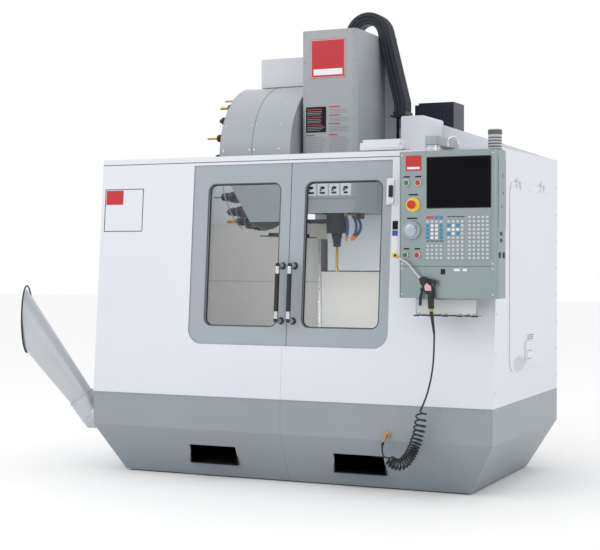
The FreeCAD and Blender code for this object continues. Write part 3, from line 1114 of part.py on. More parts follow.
# ---------------------------------------------------------------- pendant
def pendant_arm():
    y0 = PIVOT_Y - 35
    y1 = lean_y(OPENING_TOP_Z) + SHEET + DOOR_GAP + 70
    z0 = FRONT_TOP_Z + 2
    arm = upright_box(PIVOT_X - 35, PIVOT_X + 35, y0, y1, z0, z0 + 42, 30.0, front_only=True)
    pin = rod((PIVOT_X, PIVOT_Y, PENDANT_TOP_Z - 14), (PIVOT_X, PIVOT_Y, z0), PIVOT_PIN_R)
    save("pendant_arm", fuse(arm, pin))


def pendant():
    front = PENDANT_FRONT_Y
    body = upright_box(PENDANT_LEFT_X, PENDANT_RIGHT_X, front, PENDANT_BACK_Y, PENDANT_LOW_Z,
                       PENDANT_TOP_Z, PENDANT_CORNER)
    collar = rod((PIVOT_X, PIVOT_Y, PENDANT_TOP_Z), (PIVOT_X, PIVOT_Y, FRONT_TOP_Z), 32.0)
    tray = box(TRAY_LEFT_X, TRAY_RIGHT_X, front + 57, front + 60, PENDANT_LOW_Z - TRAY_DROP,
               PENDANT_LOW_Z)
    shelf = box(TRAY_LEFT_X, TRAY_RIGHT_X, front + 57, PENDANT_BACK_Y - 10,
                PENDANT_LOW_Z - TRAY_DROP, PENDANT_LOW_Z - TRAY_DROP + 3)
    body = fuse(body, collar, tray, shelf)
    body = body.cut(rod((PIVOT_X, PIVOT_Y, PENDANT_TOP_Z - 15), (PIVOT_X, PIVOT_Y, FRONT_TOP_Z + 1),
                        PIVOT_PIN_R + RUNNING))
    body = body.cut(box(878, 1200, front - 1, front + 8, 1426, 1673))
    for x, z in BUTTONS.values():
        body = body.cut(rod((x, front - 1, z), (x, front + 30, z), BUTTON_HOLE_R))
    body = body.cut(rod((STOP_X, front - 1, STOP_Z), (STOP_X, front + 40, STOP_Z), BUTTON_HOLE_R))
    body = body.cut(rod((JOG_X, front - 1, JOG_Z), (JOG_X, front + 20, JOG_Z), 8.0 + RUNNING))
    clip = box(896, 916, front - 12, front, 1050, 1072)
    stop_plate = rod((STOP_X, front - 3, STOP_Z), (STOP_X, front, STOP_Z), 34.0)
    stop_plate = stop_plate.cut(rod((STOP_X, front - 4, STOP_Z), (STOP_X, front + 1, STOP_Z), BUTTON_HOLE_R))
    rims = []
    for x, z in BUTTONS.values():
        rim = rod((x, front - 6, z), (x, front, z), 16.0)
        rims.append(rim.cut(rod((x, front - 7, z), (x, front + 1, z), BUTTON_HOLE_R)))
    save("pendant_box", body, clip, stop_plate, *rims)
    save("pendant_screen", box(878.5, 1199.5, front + 4, front + 8, 1426.5, 1672.5))
    save("keypad", box(868, 1197, front - 2, front, 1176, 1396))
    for name, (x, z) in BUTTONS.items():
        cap = rod((x, front - 12, z), (x, front - 12 + BUTTON_DEPTH, z), BUTTON_RADIUS)
        save(name, cap)
    head = fuse(rod((STOP_X, front - 34, STOP_Z), (STOP_X, front - 20, STOP_Z), 20.0),
                rod((STOP_X, front - 20, STOP_Z), (STOP_X, front + 25, STOP_Z), 11.0))
    save("estop_button", head)
    dial = fuse(rod((JOG_X, front - 16, JOG_Z), (JOG_X, front - 1, JOG_Z), JOG_RADIUS),
                rod((JOG_X, front - 24, JOG_Z), (JOG_X, front - 16, JOG_Z), JOG_RADIUS - 14),
                rod((JOG_X + 20, front - 36, JOG_Z + 14), (JOG_X + 20, front - 16, JOG_Z + 14), 6.0),
                rod((JOG_X, front - 1, JOG_Z), (JOG_X, front + 18, JOG_Z), 8.0))
    save("jog_wheel", dial)
    lamp = fuse(rod((1192, -970, PENDANT_TOP_Z), (1192, -970, PENDANT_TOP_Z + 74), 32.0),
                rod((1192, -970, PENDANT_TOP_Z + 74), (1192, -970, PENDANT_TOP_Z + 100), 33.0))
    save("beacon", lamp)


# ---------------------------------------------------------------- air gun and hose
def air_gun():
    half = GUN_THICKNESS / 2
    y0 = GUN_Y - half
    outline = [(852, y0, 1088), (868, y0, 1098), (892, y0, 1084), (908, y0, 1062),
               (918, y0, 1040), (922, y0, 944), (900, y0, 944), (896, y0, 1010),
               (880, y0, 1022), (868, y0, 1050), (858, y0, 1066)]
    body = prism(outline, (0, GUN_THICKNESS, 0))
    hook = fuse(box(884, 916, GUN_Y - 4, GUN_Y + 4, 1078, 1086),
                box(908, 934, GUN_Y - 4, GUN_Y + 4, 1066, 1080),
                box(926, 934, GUN_Y - 4, GUN_Y + 4, 1050, 1068))
    body = fuse(body, hook)
    neck = rod((862, GUN_Y, 1080), (788, GUN_Y, 1164), 4.0)
    bend = Part.makeSphere(4.0, Vector(788, GUN_Y, 1164))
    tip = fuse(rod((788, GUN_Y, 1164), (738, GUN_Y, 1192), 4.0),
               rod((738, GUN_Y, 1192), (722, GUN_Y, 1201), 7.0))
    nozzle = fuse(neck, bend, tip).cut(body)
    coupling = rod((911, GUN_Y, 928), (911, GUN_Y, 944), 9.0)
    relief = cone((911, GUN_Y, 930), (926.5, GUN_Y, 820), 9.0, 5.5)
    relief = relief.common(box(880, 950, GUN_Y - 30, GUN_Y + 30, 825, 928))
    pivot = (TRIGGER_X, TRIGGER_Z)
    for side in (-1, 1):
        ends = sorted((GUN_Y + side * 7.3, GUN_Y + side * 10.3))
        cheek = box(TRIGGER_X - 7, TRIGGER_X + 16, ends[0], ends[1], TRIGGER_Z - 8,
                    TRIGGER_Z + 8)
        body = body.fuse(cheek)
    slot = box(TRIGGER_X - 12, TRIGGER_X + 9, GUN_Y - 7.3, GUN_Y + 7.3, TRIGGER_Z - 14,
               TRIGGER_Z + 12)
    body = body.removeSplitter().cut(slot)
    body = body.cut(rod((pivot[0], GUN_Y - 20, pivot[1]), (pivot[0], GUN_Y + 20, pivot[1]),
                        2.5 + RUNNING))
    save("air_gun", body, nozzle, coupling, relief)
    lever = prism([(TRIGGER_X - 5, GUN_Y - 7, TRIGGER_Z + 6), (TRIGGER_X + 5, GUN_Y - 7,
                                                              TRIGGER_Z + 6),
                   (TRIGGER_X + 5, GUN_Y - 7, TRIGGER_Z - 8), (862, GUN_Y - 7, 1000),
                   (860, GUN_Y - 7, 958), (850, GUN_Y - 7, 957), (852, GUN_Y - 7, 1002),
                   (TRIGGER_X - 5, GUN_Y - 7, TRIGGER_Z - 8)], (0, 14, 0))
    pin = rod((pivot[0], GUN_Y - 13, pivot[1]), (pivot[0], GUN_Y + 13, pivot[1]), 2.5)
    save("gun_trigger", fuse(lever, pin))


FITTING_X = 603.0
FITTING_Z = 295.0


def hose_fitting():
    """A brass elbow in the front band: a plate nut, a short barrel and a barb that points down."""
    nut = rod((FITTING_X, FRONT_Y - 8, FITTING_Z), (FITTING_X, FRONT_Y, FITTING_Z), 13.0)
    barrel = rod((FITTING_X, -892, FITTING_Z), (FITTING_X, FRONT_Y + 8, FITTING_Z), 7.0)
    knee = Part.makeSphere(8.0, Vector(FITTING_X, -892, FITTING_Z))
    barb = rod((FITTING_X, -892, FITTING_Z), HOSE_TAIL_ROUTE[-1], 6.0)
    save("hose_fitting", fuse(nut, barrel, knee, barb))


def routed_tube(points, radius, name):
    """A tube of straight runs joined by arcs, each as large as its two runs allow."""
    route = [Vector(*p) for p in points]
    edges = []
    here = route[0]
    radii = []
    for before, corner, after in zip(route, route[1:], route[2:]):
        to_before = before - corner
        to_after = after - corner
        shorter = min(to_before.Length, to_after.Length)
        half_turn = (math.pi - to_before.getAngle(to_after)) / 2
        back_off = 0.45 * shorter
        radii.append(back_off / math.tan(half_turn))
        start = corner + to_before.normalize() * back_off
        end = corner + to_after.normalize() * back_off
        centre_way = (to_before + to_after).normalize()
        centre = corner + centre_way * math.hypot(back_off, radii[-1])
        middle = centre - centre_way * radii[-1]
        edges.append(Part.LineSegment(here, start).toShape())
        edges.append(Part.Arc(start, middle, end).toShape())
        here = end
    edges.append(Part.LineSegment(here, route[-1]).toShape())
    path = Part.Wire(edges)
    first = (route[1] - route[0]).normalize()
    ring = Part.Wire(Part.Circle(route[0], first, radius).toShape())
    tube = path.makePipeShell([ring], True, True)
    expected = math.pi * radius ** 2 * path.Length
    print(name, "radii", [round(r) for r in radii], "length", round(path.Length),
          "volume share", round(tube.Volume / expected, 4))
    return tube


def air_hose():
    half = HOSE_DIAMETER / 2
    upper = routed_tube(HOSE_UPPER_ROUTE, half, "upper hose")
    tail = routed_tube(HOSE_TAIL_ROUTE, half, "hose tail")
    save("air_hose", upper, tail)
    save("air_hose_coil", routed_tube(HOSE_COIL_ROUTE, COIL_RADIUS, "hose coil"))


# ---------------------------------------------------------------- build
def main():
    os.makedirs("parts", exist_ok=True)
    base_casting()
    levelling_feet()
    linear_rails()
    saddle()
    way_cover_middle()
    x_rails()
    table()
    ball_screws()
    axis_motors()
    column()
    column_covers()
    head_casting()
    head_cover()
    spindle()
    changer_gearbox()
    change_arm()
    carousel()
    changer_shroud()
    skirts()
    front_panels()
    side_panels()
    access_door()
    rear_panel()
    splash_panels()
    chip_pan()
    auger()
    chip_chute()
    doors()
    door_tracks()
    control_cabinet()
    coolant_tank()
    cable_carrier()
    pendant_arm()
    pendant()
    air_gun()
    hose_fitting()
    air_hose()


main()
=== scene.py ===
import math
import random

import bmesh
import bpy
from mathutils import Matrix, Vector


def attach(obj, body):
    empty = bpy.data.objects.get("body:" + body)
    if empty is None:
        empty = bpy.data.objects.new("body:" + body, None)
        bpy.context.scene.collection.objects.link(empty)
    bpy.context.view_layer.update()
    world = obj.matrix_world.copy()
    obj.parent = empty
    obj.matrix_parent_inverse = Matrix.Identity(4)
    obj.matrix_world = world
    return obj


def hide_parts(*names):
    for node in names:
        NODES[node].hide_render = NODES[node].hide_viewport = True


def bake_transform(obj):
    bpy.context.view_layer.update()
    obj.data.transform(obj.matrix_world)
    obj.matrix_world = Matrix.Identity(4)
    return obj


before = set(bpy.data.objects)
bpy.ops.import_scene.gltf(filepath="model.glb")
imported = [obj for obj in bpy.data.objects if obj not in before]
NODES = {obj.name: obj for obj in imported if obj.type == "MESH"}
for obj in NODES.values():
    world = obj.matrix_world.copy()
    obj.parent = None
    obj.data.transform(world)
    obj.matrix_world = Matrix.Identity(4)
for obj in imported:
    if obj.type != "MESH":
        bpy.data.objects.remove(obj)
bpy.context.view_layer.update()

scene = bpy.context.scene
scene.view_settings.view_transform = "Standard"
PI = math.pi

# places in millimetres: X to the operator's right, Y to the back, Z up
FRONT_Y = -860.0
BAND_Z = 446.0
LEAN_SLOPE = 0.0845
LEAN = math.atan(LEAN_SLOPE)
SIDE_X = 1150.0
SPINDLE_Y = -98.0
TO_FRONT = (0, -1, 0)
TO_BACK = (0, 1, 0)
TO_RIGHT = (1, 0, 0)
TO_LEFT = (-1, 0, 0)
UPWARD = (0, 0, 1)

# ---------------------------------------------------------------- camera
cam = bpy.data.cameras.new("camera")
cam.sensor_width = 36.0
cam.lens = 82.98
cam.clip_end = 100.0
CAMERA_PITCH = -0.0124
CAMERA_YAW = 0.4284
eye = bpy.data.objects.new("camera", cam)
scene.collection.objects.link(eye)
eye.location = (3.0959, -7.3869, 1.1877)
eye.rotation_euler = (PI / 2 + CAMERA_PITCH, 0.0, CAMERA_YAW)
scene.camera = eye


# ---------------------------------------------------------------- mesh helpers, in mm
def lin(r, g, b):
    """Linear colour of an 8-bit sRGB one."""
    def one(c):
        c /= 255.0
        return c / 12.92 if c <= 0.04045 else ((c + 0.055) / 1.055) ** 2.4
    return (one(r), one(g), one(b), 1.0)


def lean(p):
    """A point of an upright front, moved onto the leaning one."""
    x, y, z = p
    dy, dz = y - FRONT_Y, z - BAND_Z
    c, s = math.cos(LEAN), math.sin(LEAN)
    return (x, FRONT_Y + dy * c + dz * s, BAND_Z - dy * s + dz * c)


def slope_z(z):
    """Height measured along the leaning front."""
    return BAND_Z + (z - BAND_Z) / math.cos(LEAN)


def finish_mesh(name, bm, mat, body, leaned=False, angle=35.0):
    """The mesh in metres, shaded, and riding on its body if it has one."""
    bmesh.ops.recalc_face_normals(bm, faces=bm.faces)
    for v in bm.verts:
        if leaned:
            v.co = Vector(lean(v.co))
        v.co = v.co / 1000.0
    me = bpy.data.meshes.new(name)
    bm.to_mesh(me)
    bm.free()
    for p in me.polygons:
        p.use_smooth = True
    me.set_sharp_from_angle(angle=math.radians(angle))
    o = bpy.data.objects.new(name, me)
    scene.collection.objects.link(o)
    me.materials.append(mat)
    if body:
        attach(o, body)
    return o


def slabs(name, boxes, mat, body, bevel=0.8, leaned=False, segments=2):
    """Small blocks with eased edges, as one mesh."""
    bm = bmesh.new()
    for x0, x1, y0, y1, z0, z1 in boxes:
        m = Matrix.Translation(((x0 + x1) / 2, (y0 + y1) / 2, (z0 + z1) / 2)) @ Matrix.Diagonal(
            (x1 - x0, y1 - y0, z1 - z0, 1))
        bmesh.ops.create_cube(bm, size=1.0, matrix=m)
    if bevel:
        bmesh.ops.bevel(bm, geom=list(bm.edges), offset=bevel, segments=segments, affect="EDGES",
                        clamp_overlap=True)
    return finish_mesh(name, bm, mat, body, leaned)


def basis(axis):
    """The axis as a unit vector, with two more square to it."""
    u = Vector(axis).normalized()
    a = Vector((0, 0, 1)) if abs(u.z) < 0.9 else Vector((1, 0, 0))
    a = (a - u * a.dot(u)).normalized()
    return u, a, u.cross(a)


def turned(name, places, profile, mat, body, n=24, leaned=False, angle=35.0):
    """A profile of (radius, height) turned about each place's axis."""
    bm = bmesh.new()
    for base, axis in places:
        u, a, b = basis(axis)
        base = Vector(base)
        rows = []
        for r, h in profile:
            if r <= 0:
                rows.append([bm.verts.new(base + u * h)])
            else:
                rows.append([bm.verts.new(base + u * h + (a * math.cos(t) + b * math.sin(t)) * r)
                             for t in [2 * PI * i / n for i in range(n)]])
        for p, q in zip(rows, rows[1:]):
            for i in range(n):
                j = (i + 1) % n
                if len(p) == 1:
                    bm.faces.new((p[0], q[i], q[j]))
                elif len(q) == 1:
                    bm.faces.new((p[i], p[j], q[0]))
                else:
                    bm.faces.new((p[i], p[j], q[j], q[i]))
    return finish_mesh(name, bm, mat, body, leaned, angle)


def sweep(bm, path, radii, n=10, closed=False):
    """A round tube along the path, with one radius or one for each point."""
    pts = [Vector(p) for p in path]
    count = len(pts)
    tangents = []
    for i in range(count):
        if closed:
            t = pts[(i + 1) % count] - pts[i - 1]
        else:
            t = pts[min(i + 1, count - 1)] - pts[max(i - 1, 0)]
        tangents.append(t.normalized())
    u, a, b = basis(tangents[0])
    rows = []
    for i in range(count):
        if i:
            turn = tangents[i - 1].rotation_difference(tangents[i])
            a = turn @ a
            a = (a - tangents[i] * a.dot(tangents[i])).normalized()
        b = tangents[i].cross(a)
        r = radii[i] if isinstance(radii, (list, tuple)) else radii
        rows.append([bm.verts.new(pts[i] + (a * math.cos(t) + b * math.sin(t)) * r)
                     for t in [2 * PI * k / n for k in range(n)]])
    pairs = list(zip(rows, rows[1:]))
    if closed:
        pairs.append((rows[-1], rows[0]))
    for p, q in pairs:
        for k in range(n):
            m = (k + 1) % n
            bm.faces.new((p[k], p[m], q[m], q[k]))
    if not closed:
        bm.faces.new(list(reversed(rows[0])))
        bm.faces.new(rows[-1])


def tubes(name, paths, radii, mat, body, n=10, closed=False, leaned=False):
    bm = bmesh.new()
    for path in paths:
        sweep(bm, path, radii, n, closed)
    return finish_mesh(name, bm, mat, body, leaned, 60)


def screws(name, points, axis, mat, body, r=5.0, h=2.2, leaned=False):
    profile = [(r, -0.5), (r, h * 0.45), (r * 0.86, h * 0.8), (r * 0.6, h), (r * 0.42, h),
               (r * 0.38, h * 0.45), (0, h * 0.45)]
    return turned(name, [(p, axis) for p in points], profile, mat, body, 14, leaned)


def rounded_loop(x0, x1, z0, z1, r, y, steps=8):
    out = []
    for cx, cz, start in ((x1 - r, z1 - r, 0), (x0 + r, z1 - r, 90), (x0 + r, z0 + r, 180),
                          (x1 - r, z0 + r, 270)):
        for k in range(steps + 1):
            t = math.radians(start + 90 * k / steps)
            out.append((cx + r * math.cos(t), y, cz + r * math.sin(t)))
    return out


def plates(name, outlines, thick, mat, body, leaned=False, normal=TO_FRONT):
    """Thin flat shapes from closed outlines that lie in one plane; they rise by thick."""
    bm = bmesh.new()
    up = Vector(normal) * thick
    for outline in outlines:
        low = [bm.verts.new(Vector(p)) for p in outline]
        high = [bm.verts.new(Vector(p) + up) for p in outline]
        bm.faces.new(low)
        bm.faces.new(list(reversed(high)))
        for i in range(len(low)):
            j = (i + 1) % len(low)
            bm.faces.new((low[i], high[i], high[j], low[j]))
    return finish_mesh(name, bm, mat, body, leaned)


def rect(x0, x1, z0, z1, y, r=2.0):
    return rounded_loop(x0, x1, z0, z1, r, y, 3)


# ---------------------------------------------------------------- materials
def blank(name):
    mat = bpy.data.materials.new(name)
    mat.use_nodes = True
    nt = mat.node_tree
    return mat, nt, nt.nodes["Principled BSDF"]


def node(nt, kind, **values):
    n = nt.nodes.new(kind)
    for k, v in values.items():
        if k in n.inputs:
            n.inputs[k].default_value = v
        else:
            setattr(n, k, v)
    return n


def coords(nt, scale=(1, 1, 1)):
    c = nt.nodes.new("ShaderNodeTexCoord")
    m = nt.nodes.new("ShaderNodeMapping")
    m.inputs["Scale"].default_value = scale
    nt.links.new(c.outputs["Object"], m.inputs["Vector"])
    return m.outputs["Vector"]


def ramp(nt, source, stops):
    r = nt.nodes.new("ShaderNodeValToRGB")
    while len(r.color_ramp.elements) < len(stops):
        r.color_ramp.elements.new(0.5)
    for e, (at, col) in zip(r.color_ramp.elements, stops):
        e.position = at
        e.color = col if len(col) == 4 else (*col, 1)
    nt.links.new(source, r.inputs["Fac"])
    return r.outputs["Color"]


def shade(c, k):
    return (min(1, c[0] * k), min(1, c[1] * k), min(1, c[2] * k), 1.0)


def clouded(nt, cloud, colour, vary):
    """The colour, a little darker and lighter from patch to patch."""
    return ramp(nt, cloud.outputs["Fac"], [(0.3, shade(colour, 1 - vary)), (0.7, shade(colour, 1 + vary))])


def multiply(nt, first, second):
    mix = node(nt, "ShaderNodeMix", data_type="RGBA", blend_type="MULTIPLY")
    mix.inputs[0].default_value = 1.0
    nt.links.new(first, mix.inputs[6])
    nt.links.new(second, mix.inputs[7])
    return mix.outputs[2]


def surface(name, colour, rough=0.4, metal=0.0, grain=900.0, bump=0.06, depth=0.0004, vary=0.03,
            patch=2.2, stretch=(1, 1, 1), coat=0.0, spread=0.06, ior=1.45, darken_low=None, streak=False,
            place=None):
    """A paint, plastic or metal. place is an axis, where it turns, and the colour past there;
    the argument for darkening low down is a low and a high level, and the tone at the low one: the colour
    grows darker towards the bottom between them."""
    mat, nt, p = blank(name)
    v = coords(nt, stretch)
    wide = coords(nt)
    cloud = node(nt, "ShaderNodeTexNoise", Scale=patch, Detail=3.0, Roughness=0.55)
    nt.links.new(wide, cloud.inputs["Vector"])
    col = clouded(nt, cloud, colour, vary)
    if place:
        axis, at, other = place
        cut = node(nt, "ShaderNodeSeparateXYZ")
        nt.links.new(wide, cut.inputs[0])
        test = node(nt, "ShaderNodeMath", operation="GREATER_THAN")
        test.inputs[1].default_value = at
        nt.links.new(cut.outputs[axis], test.inputs[0])
        swap = node(nt, "ShaderNodeMix", data_type="RGBA")
        nt.links.new(test.outputs[0], swap.inputs[0])
        nt.links.new(col, swap.inputs[6])
        nt.links.new(clouded(nt, cloud, other, vary), swap.inputs[7])
        col = swap.outputs[2]
    fine = node(nt, "ShaderNodeTexNoise", Scale=grain, Detail=2.0, Roughness=0.5)
    nt.links.new(v, fine.inputs["Vector"])
    if streak:
        col = multiply(nt, col, ramp(nt, fine.outputs["Fac"], [(0.3, (0.84, 0.84, 0.85)), (0.7, (1, 1, 1))]))
    # darker towards the bottom: full colour at the high level, down to the given tone at the low one
    if darken_low:
        low, high, dark = darken_low
        sep = node(nt, "ShaderNodeSeparateXYZ")
        nt.links.new(wide, sep.inputs[0])
        rng = node(nt, "ShaderNodeMapRange")
        rng.inputs[1].default_value = low
        rng.inputs[2].default_value = high
        nt.links.new(sep.outputs["Z"], rng.inputs[0])
        col = multiply(nt, col, ramp(nt, rng.outputs[0], [(0.0, dark), (1.0, (1, 1, 1))]))
    nt.links.new(col, p.inputs["Base Color"])
    r = node(nt, "ShaderNodeMapRange")
    r.inputs[3].default_value = max(0.02, rough - spread)
    r.inputs[4].default_value = min(1.0, rough + spread)
    nt.links.new((fine if streak else cloud).outputs["Fac"], r.inputs[0])
    nt.links.new(r.outputs[0], p.inputs["Roughness"])
    b = node(nt, "ShaderNodeBump", Strength=bump, Distance=depth)
    nt.links.new(fine.outputs["Fac"], b.inputs["Height"])
    nt.links.new(b.outputs["Normal"], p.inputs["Normal"])
    p.inputs["Metallic"].default_value = metal
    p.inputs["IOR"].default_value = ior
    p.inputs["Coat Weight"].default_value = coat
    return mat


def brushed(name, colour, rough=0.32, along="z", bump=0.10, vary=0.03, metal=1.0):
    s = {"x": (12, 900, 900), "y": (900, 12, 900), "z": (900, 900, 12)}[along]
    return surface(name, colour, rough, metal, 1.0, bump, 0.0002, vary, 1.6, s, streak=True, spread=0.10)


# white panels: darker towards the bottom between 0.44 m and 0.75 m
white = surface("white_powder_coat", lin(217, 220, 227), 0.38, grain=700, bump=0.05, vary=0.012,
                darken_low=(0.44, 0.75, (0.965, 0.965, 0.97)))
door_grey = surface("door_grey_paint", lin(158, 166, 173), 0.34, grain=700, bump=0.05, vary=0.02)
# grey band: darker towards the floor below 0.27 m
band_grey = surface("band_grey_paint", lin(144, 152, 158), 0.36, grain=650, bump=0.06, vary=0.025,
                    darken_low=(0.0, 0.27, (0.80, 0.81, 0.81)))
head_grey = surface("head_grey_paint", lin(158, 163, 168), 0.36, grain=700, bump=0.05, vary=0.02)
# head cover: head grey above 1.4405 m; below it, on the apron behind the spindle, a lighter copy of the same
# paint is painted light
head_skin_lit_apron = surface("head_cover_paint_lit_apron", lin(222, 224, 228), 0.36, grain=700, bump=0.05, vary=0.02,
                    place=("Z", 1.4405, lin(158, 163, 168)))
drum_grey = surface("drum_grey_paint", lin(166, 171, 176), 0.34, grain=700, bump=0.05, vary=0.02)
column_grey = surface("column_cover_paint", lin(203, 206, 210), 0.38, grain=700, bump=0.05, vary=0.02)
cabinet_paint = surface("cabinet_paint", lin(203, 206, 210), 0.38, grain=700, bump=0.05, vary=0.02,
                        place=("Z", 1.8505, lin(38, 42, 56)))
cast = surface("machined_casting", lin(118, 126, 130), 0.5, grain=260, bump=0.35, depth=0.0012, vary=0.06)
low_head = surface("lower_head_casting", lin(92, 106, 113), 0.42, grain=300, bump=0.2, depth=0.0008,
                   vary=0.05)
steel = brushed("ground_steel", lin(196, 198, 200), 0.26, "x")
liner = surface("interior_liner", lin(222, 216, 211), 0.42, 0.1, grain=500, bump=0.08, vary=0.03, patch=1.4,
                place=("X", 0.2605, lin(168, 175, 173)))
# dark teal: partly the dark trim along the splash top, partly painted shade of the interior above it
trim_and_shade_teal = surface("trim_and_shade_teal", lin(44, 62, 64), 0.5, grain=500, bump=0.1, vary=0.1)
tray_pale = surface("tray_pale", lin(198, 200, 201), 0.5, grain=700, bump=0.08, vary=0.03)
jog_alu = surface("jog_aluminium", lin(172, 184, 192), 0.34, 0.55, grain=700, bump=0.08, vary=0.04)
liner_steel = brushed("interior_steel", lin(170, 173, 174), 0.4, "z", vary=0.05)
pan_steel = brushed("chip_pan_steel", lin(158, 162, 163), 0.42, "x", vary=0.06)
chute_metal = surface("chute_galvanised", lin(188, 192, 196), 0.36, 0.55, grain=45, bump=0.05, vary=0.05,
                      patch=6)
pendant_steel = brushed("pendant_brushed_steel", lin(150, 163, 164), 0.36, "z", 0.12, 0.05, 0.85)
black_metal = surface("black_oxide", lin(34, 36, 39), 0.4, 0.3, grain=600, bump=0.12, vary=0.1)
motor_black = surface("motor_black", lin(30, 31, 34), 0.46, grain=400, bump=0.2, vary=0.1)
grip = surface("handle_grip", lin(40, 42, 45), 0.45, grain=1400, bump=0.3, depth=0.0006, vary=0.05)
chrome = brushed("satin_chrome", lin(214, 216, 218), 0.16, "z", 0.03, 0.02)
rubber = surface("rubber_seal", lin(88, 93, 97), 0.62, grain=1200, bump=0.25, vary=0.05)
dark_rubber = surface("dark_edging", lin(44, 47, 50), 0.6, grain=1200, bump=0.25, vary=0.06)
seam = surface("seam_shadow", lin(92, 98, 104), 0.6, grain=900, bump=0.05, vary=0.04)
tank_grey = surface("tank_grey_paint", lin(132, 138, 142), 0.42, grain=500, bump=0.1, vary=0.04)
# black for print, and for the painted shade in the cabinet louvre gaps
print_and_gap_shade_black = surface("print_and_gap_shade_black", lin(22, 23, 26), 0.5, ior=1.25, grain=900, bump=0.05, vary=0.05)
print_grey = surface("print_grey", lin(128, 132, 137), 0.5, grain=900, bump=0.04, vary=0.05)
print_soft = surface("print_soft_grey", lin(142, 146, 151), 0.5, grain=900, bump=0.04, vary=0.04)
print_white = surface("print_white", lin(232, 232, 232), 0.45, grain=900, bump=0.04, vary=0.03)
print_red = surface("print_red", lin(186, 38, 46), 0.42, grain=900, bump=0.04, vary=0.05)
print_blue = surface("print_blue", lin(48, 82, 158), 0.45, grain=900, bump=0.04, vary=0.05)
print_yellow = surface("print_yellow", lin(236, 206, 40), 0.4, grain=900, bump=0.04, vary=0.04)
plate_pale = surface("plate_pale", lin(224, 226, 228), 0.4, grain=900, bump=0.04, vary=0.03)
screen_glass = surface("screen_glass", lin(9, 10, 13), 0.2, grain=300, bump=0.004, vary=0.15, ior=1.16,
                       spread=0.03)
keypad_base = surface("keypad_membrane", lin(140, 152, 154), 0.5, grain=900, bump=0.08, vary=0.04)
key_grey = surface("key_grey", lin(184, 193, 196), 0.48, grain=1100, bump=0.1, vary=0.05)
key_blue = surface("key_blue", lin(36, 138, 176), 0.48, grain=1100, bump=0.1, vary=0.05)
key_white = surface("key_white", lin(222, 226, 228), 0.48, grain=1100, bump=0.1, vary=0.04)
key_orange = surface("key_orange", lin(206, 62, 48), 0.48, grain=1100, bump=0.1, vary=0.04)
stop_red = surface("stop_red", lin(196, 24, 26), 0.24, grain=600, bump=0.02, vary=0.04, coat=0.4)
green = surface("button_green", lin(30, 122, 58), 0.28, grain=600, bump=0.02, vary=0.05, coat=0.3)
red = surface("button_red", lin(188, 32, 30), 0.28, grain=600, bump=0.02, vary=0.05, coat=0.3)
brass = brushed("turned_brass", lin(206, 166, 92), 0.26, "x", 0.08, 0.05)
gold = surface("gold_coated_tool", lin(206, 158, 62), 0.28, 0.9, grain=500, bump=0.1, vary=0.15, patch=30,
               place=("Z", 1.2495, lin(40, 44, 46)))
orange = surface("nozzle_orange", lin(226, 116, 34), 0.36, grain=900, bump=0.05, vary=0.05)
teal = surface("segmented_hose_blue", lin(20, 74, 118), 0.34, grain=900, bump=0.05, vary=0.08)
hose_black = surface("hose_black", lin(24, 32, 33), 0.34, grain=1500, bump=0.1, vary=0.06, coat=0.15)
gun_black = surface("gun_black", lin(30, 33, 36), 0.42, grain=1400, bump=0.3, vary=0.06)
navy = surface("navy_conduit", lin(26, 32, 44), 0.42, grain=900, bump=0.15, vary=0.12, patch=14)
cage_dark = surface("cage_dark", lin(38, 42, 56), 0.5, 0.3, grain=600, bump=0.15, vary=0.1)
# near-black for the inside of the fork pockets: painted shade
pocket_shade_dark = surface("fork_pocket_painted_shade", lin(26, 34, 32), 0.75, grain=400, bump=0.3, vary=0.15)
lamp_pale = surface("lamp_pale", lin(184, 186, 185), 0.3, grain=500, bump=0.02, vary=0.04, coat=0.3)
lamp_dark = surface("lamp_dark", lin(88, 92, 95), 0.36, grain=700, bump=0.06, vary=0.05)

# tools in the magazine: cups grey, holders steel, cutting ends gold or dark by place
tools, nt, p = blank("magazine_tools")
v = coords(nt)
sep = node(nt, "ShaderNodeSeparateXYZ")
nt.links.new(v, sep.inputs[0])
rng = node(nt, "ShaderNodeMapRange")
rng.inputs[1].default_value = -0.78
rng.inputs[2].default_value = -0.50
nt.links.new(sep.outputs["X"], rng.inputs[0])
base = ramp(nt, rng.outputs[0], [(0.0, lin(168, 128, 58)), (0.30, lin(150, 120, 66)), (0.42, lin(66, 68, 70)),
                                 (0.50, lin(172, 174, 176)), (0.62, lin(44, 46, 50)),
                                 (0.82, lin(120, 126, 130))])
spots = node(nt, "ShaderNodeTexNoise", Scale=9.0, Detail=1.0)
nt.links.new(v, spots.inputs["Vector"])
spotted = multiply(nt, base, ramp(nt, spots.outputs["Fac"], [(0.38, (0.35, 0.42, 0.38)), (0.58, (1, 1, 1))]))
nt.links.new(spotted, p.inputs["Base Color"])
p.inputs["Metallic"].default_value = 0.7
p.inputs["Roughness"].default_value = 0.34

# window panes: clear with a soft reflection that grows towards grazing angles
glass, nt, p = blank("window_pane")
nt.nodes.remove(p)
clear = node(nt, "ShaderNodeBsdfTransparent", Color=(0.93, 0.955, 0.955, 1))
gloss = node(nt, "ShaderNodeBsdfGlossy", Color=(0.95, 0.97, 1.0, 1), Roughness=0.04)
fres = node(nt, "ShaderNodeFresnel", IOR=1.35)
both = node(nt, "ShaderNodeMixShader")
nt.links.new(fres.outputs[0], both.inputs[0])
nt.links.new(clear.outputs[0], both.inputs[1])
nt.links.new(gloss.outputs[0], both.inputs[2])
smear = node(nt, "ShaderNodeTexNoise", Scale=6.0, Detail=4.0)
nt.links.new(coords(nt), smear.inputs["Vector"])
b = node(nt, "ShaderNodeBump", Strength=0.02, Distance=0.001)
nt.links.new(smear.outputs["Fac"], b.inputs["Height"])
nt.links.new(b.outputs["Normal"], gloss.inputs["Normal"])
nt.links.new(both.outputs[0], nt.nodes["Material Output"].inputs["Surface"])

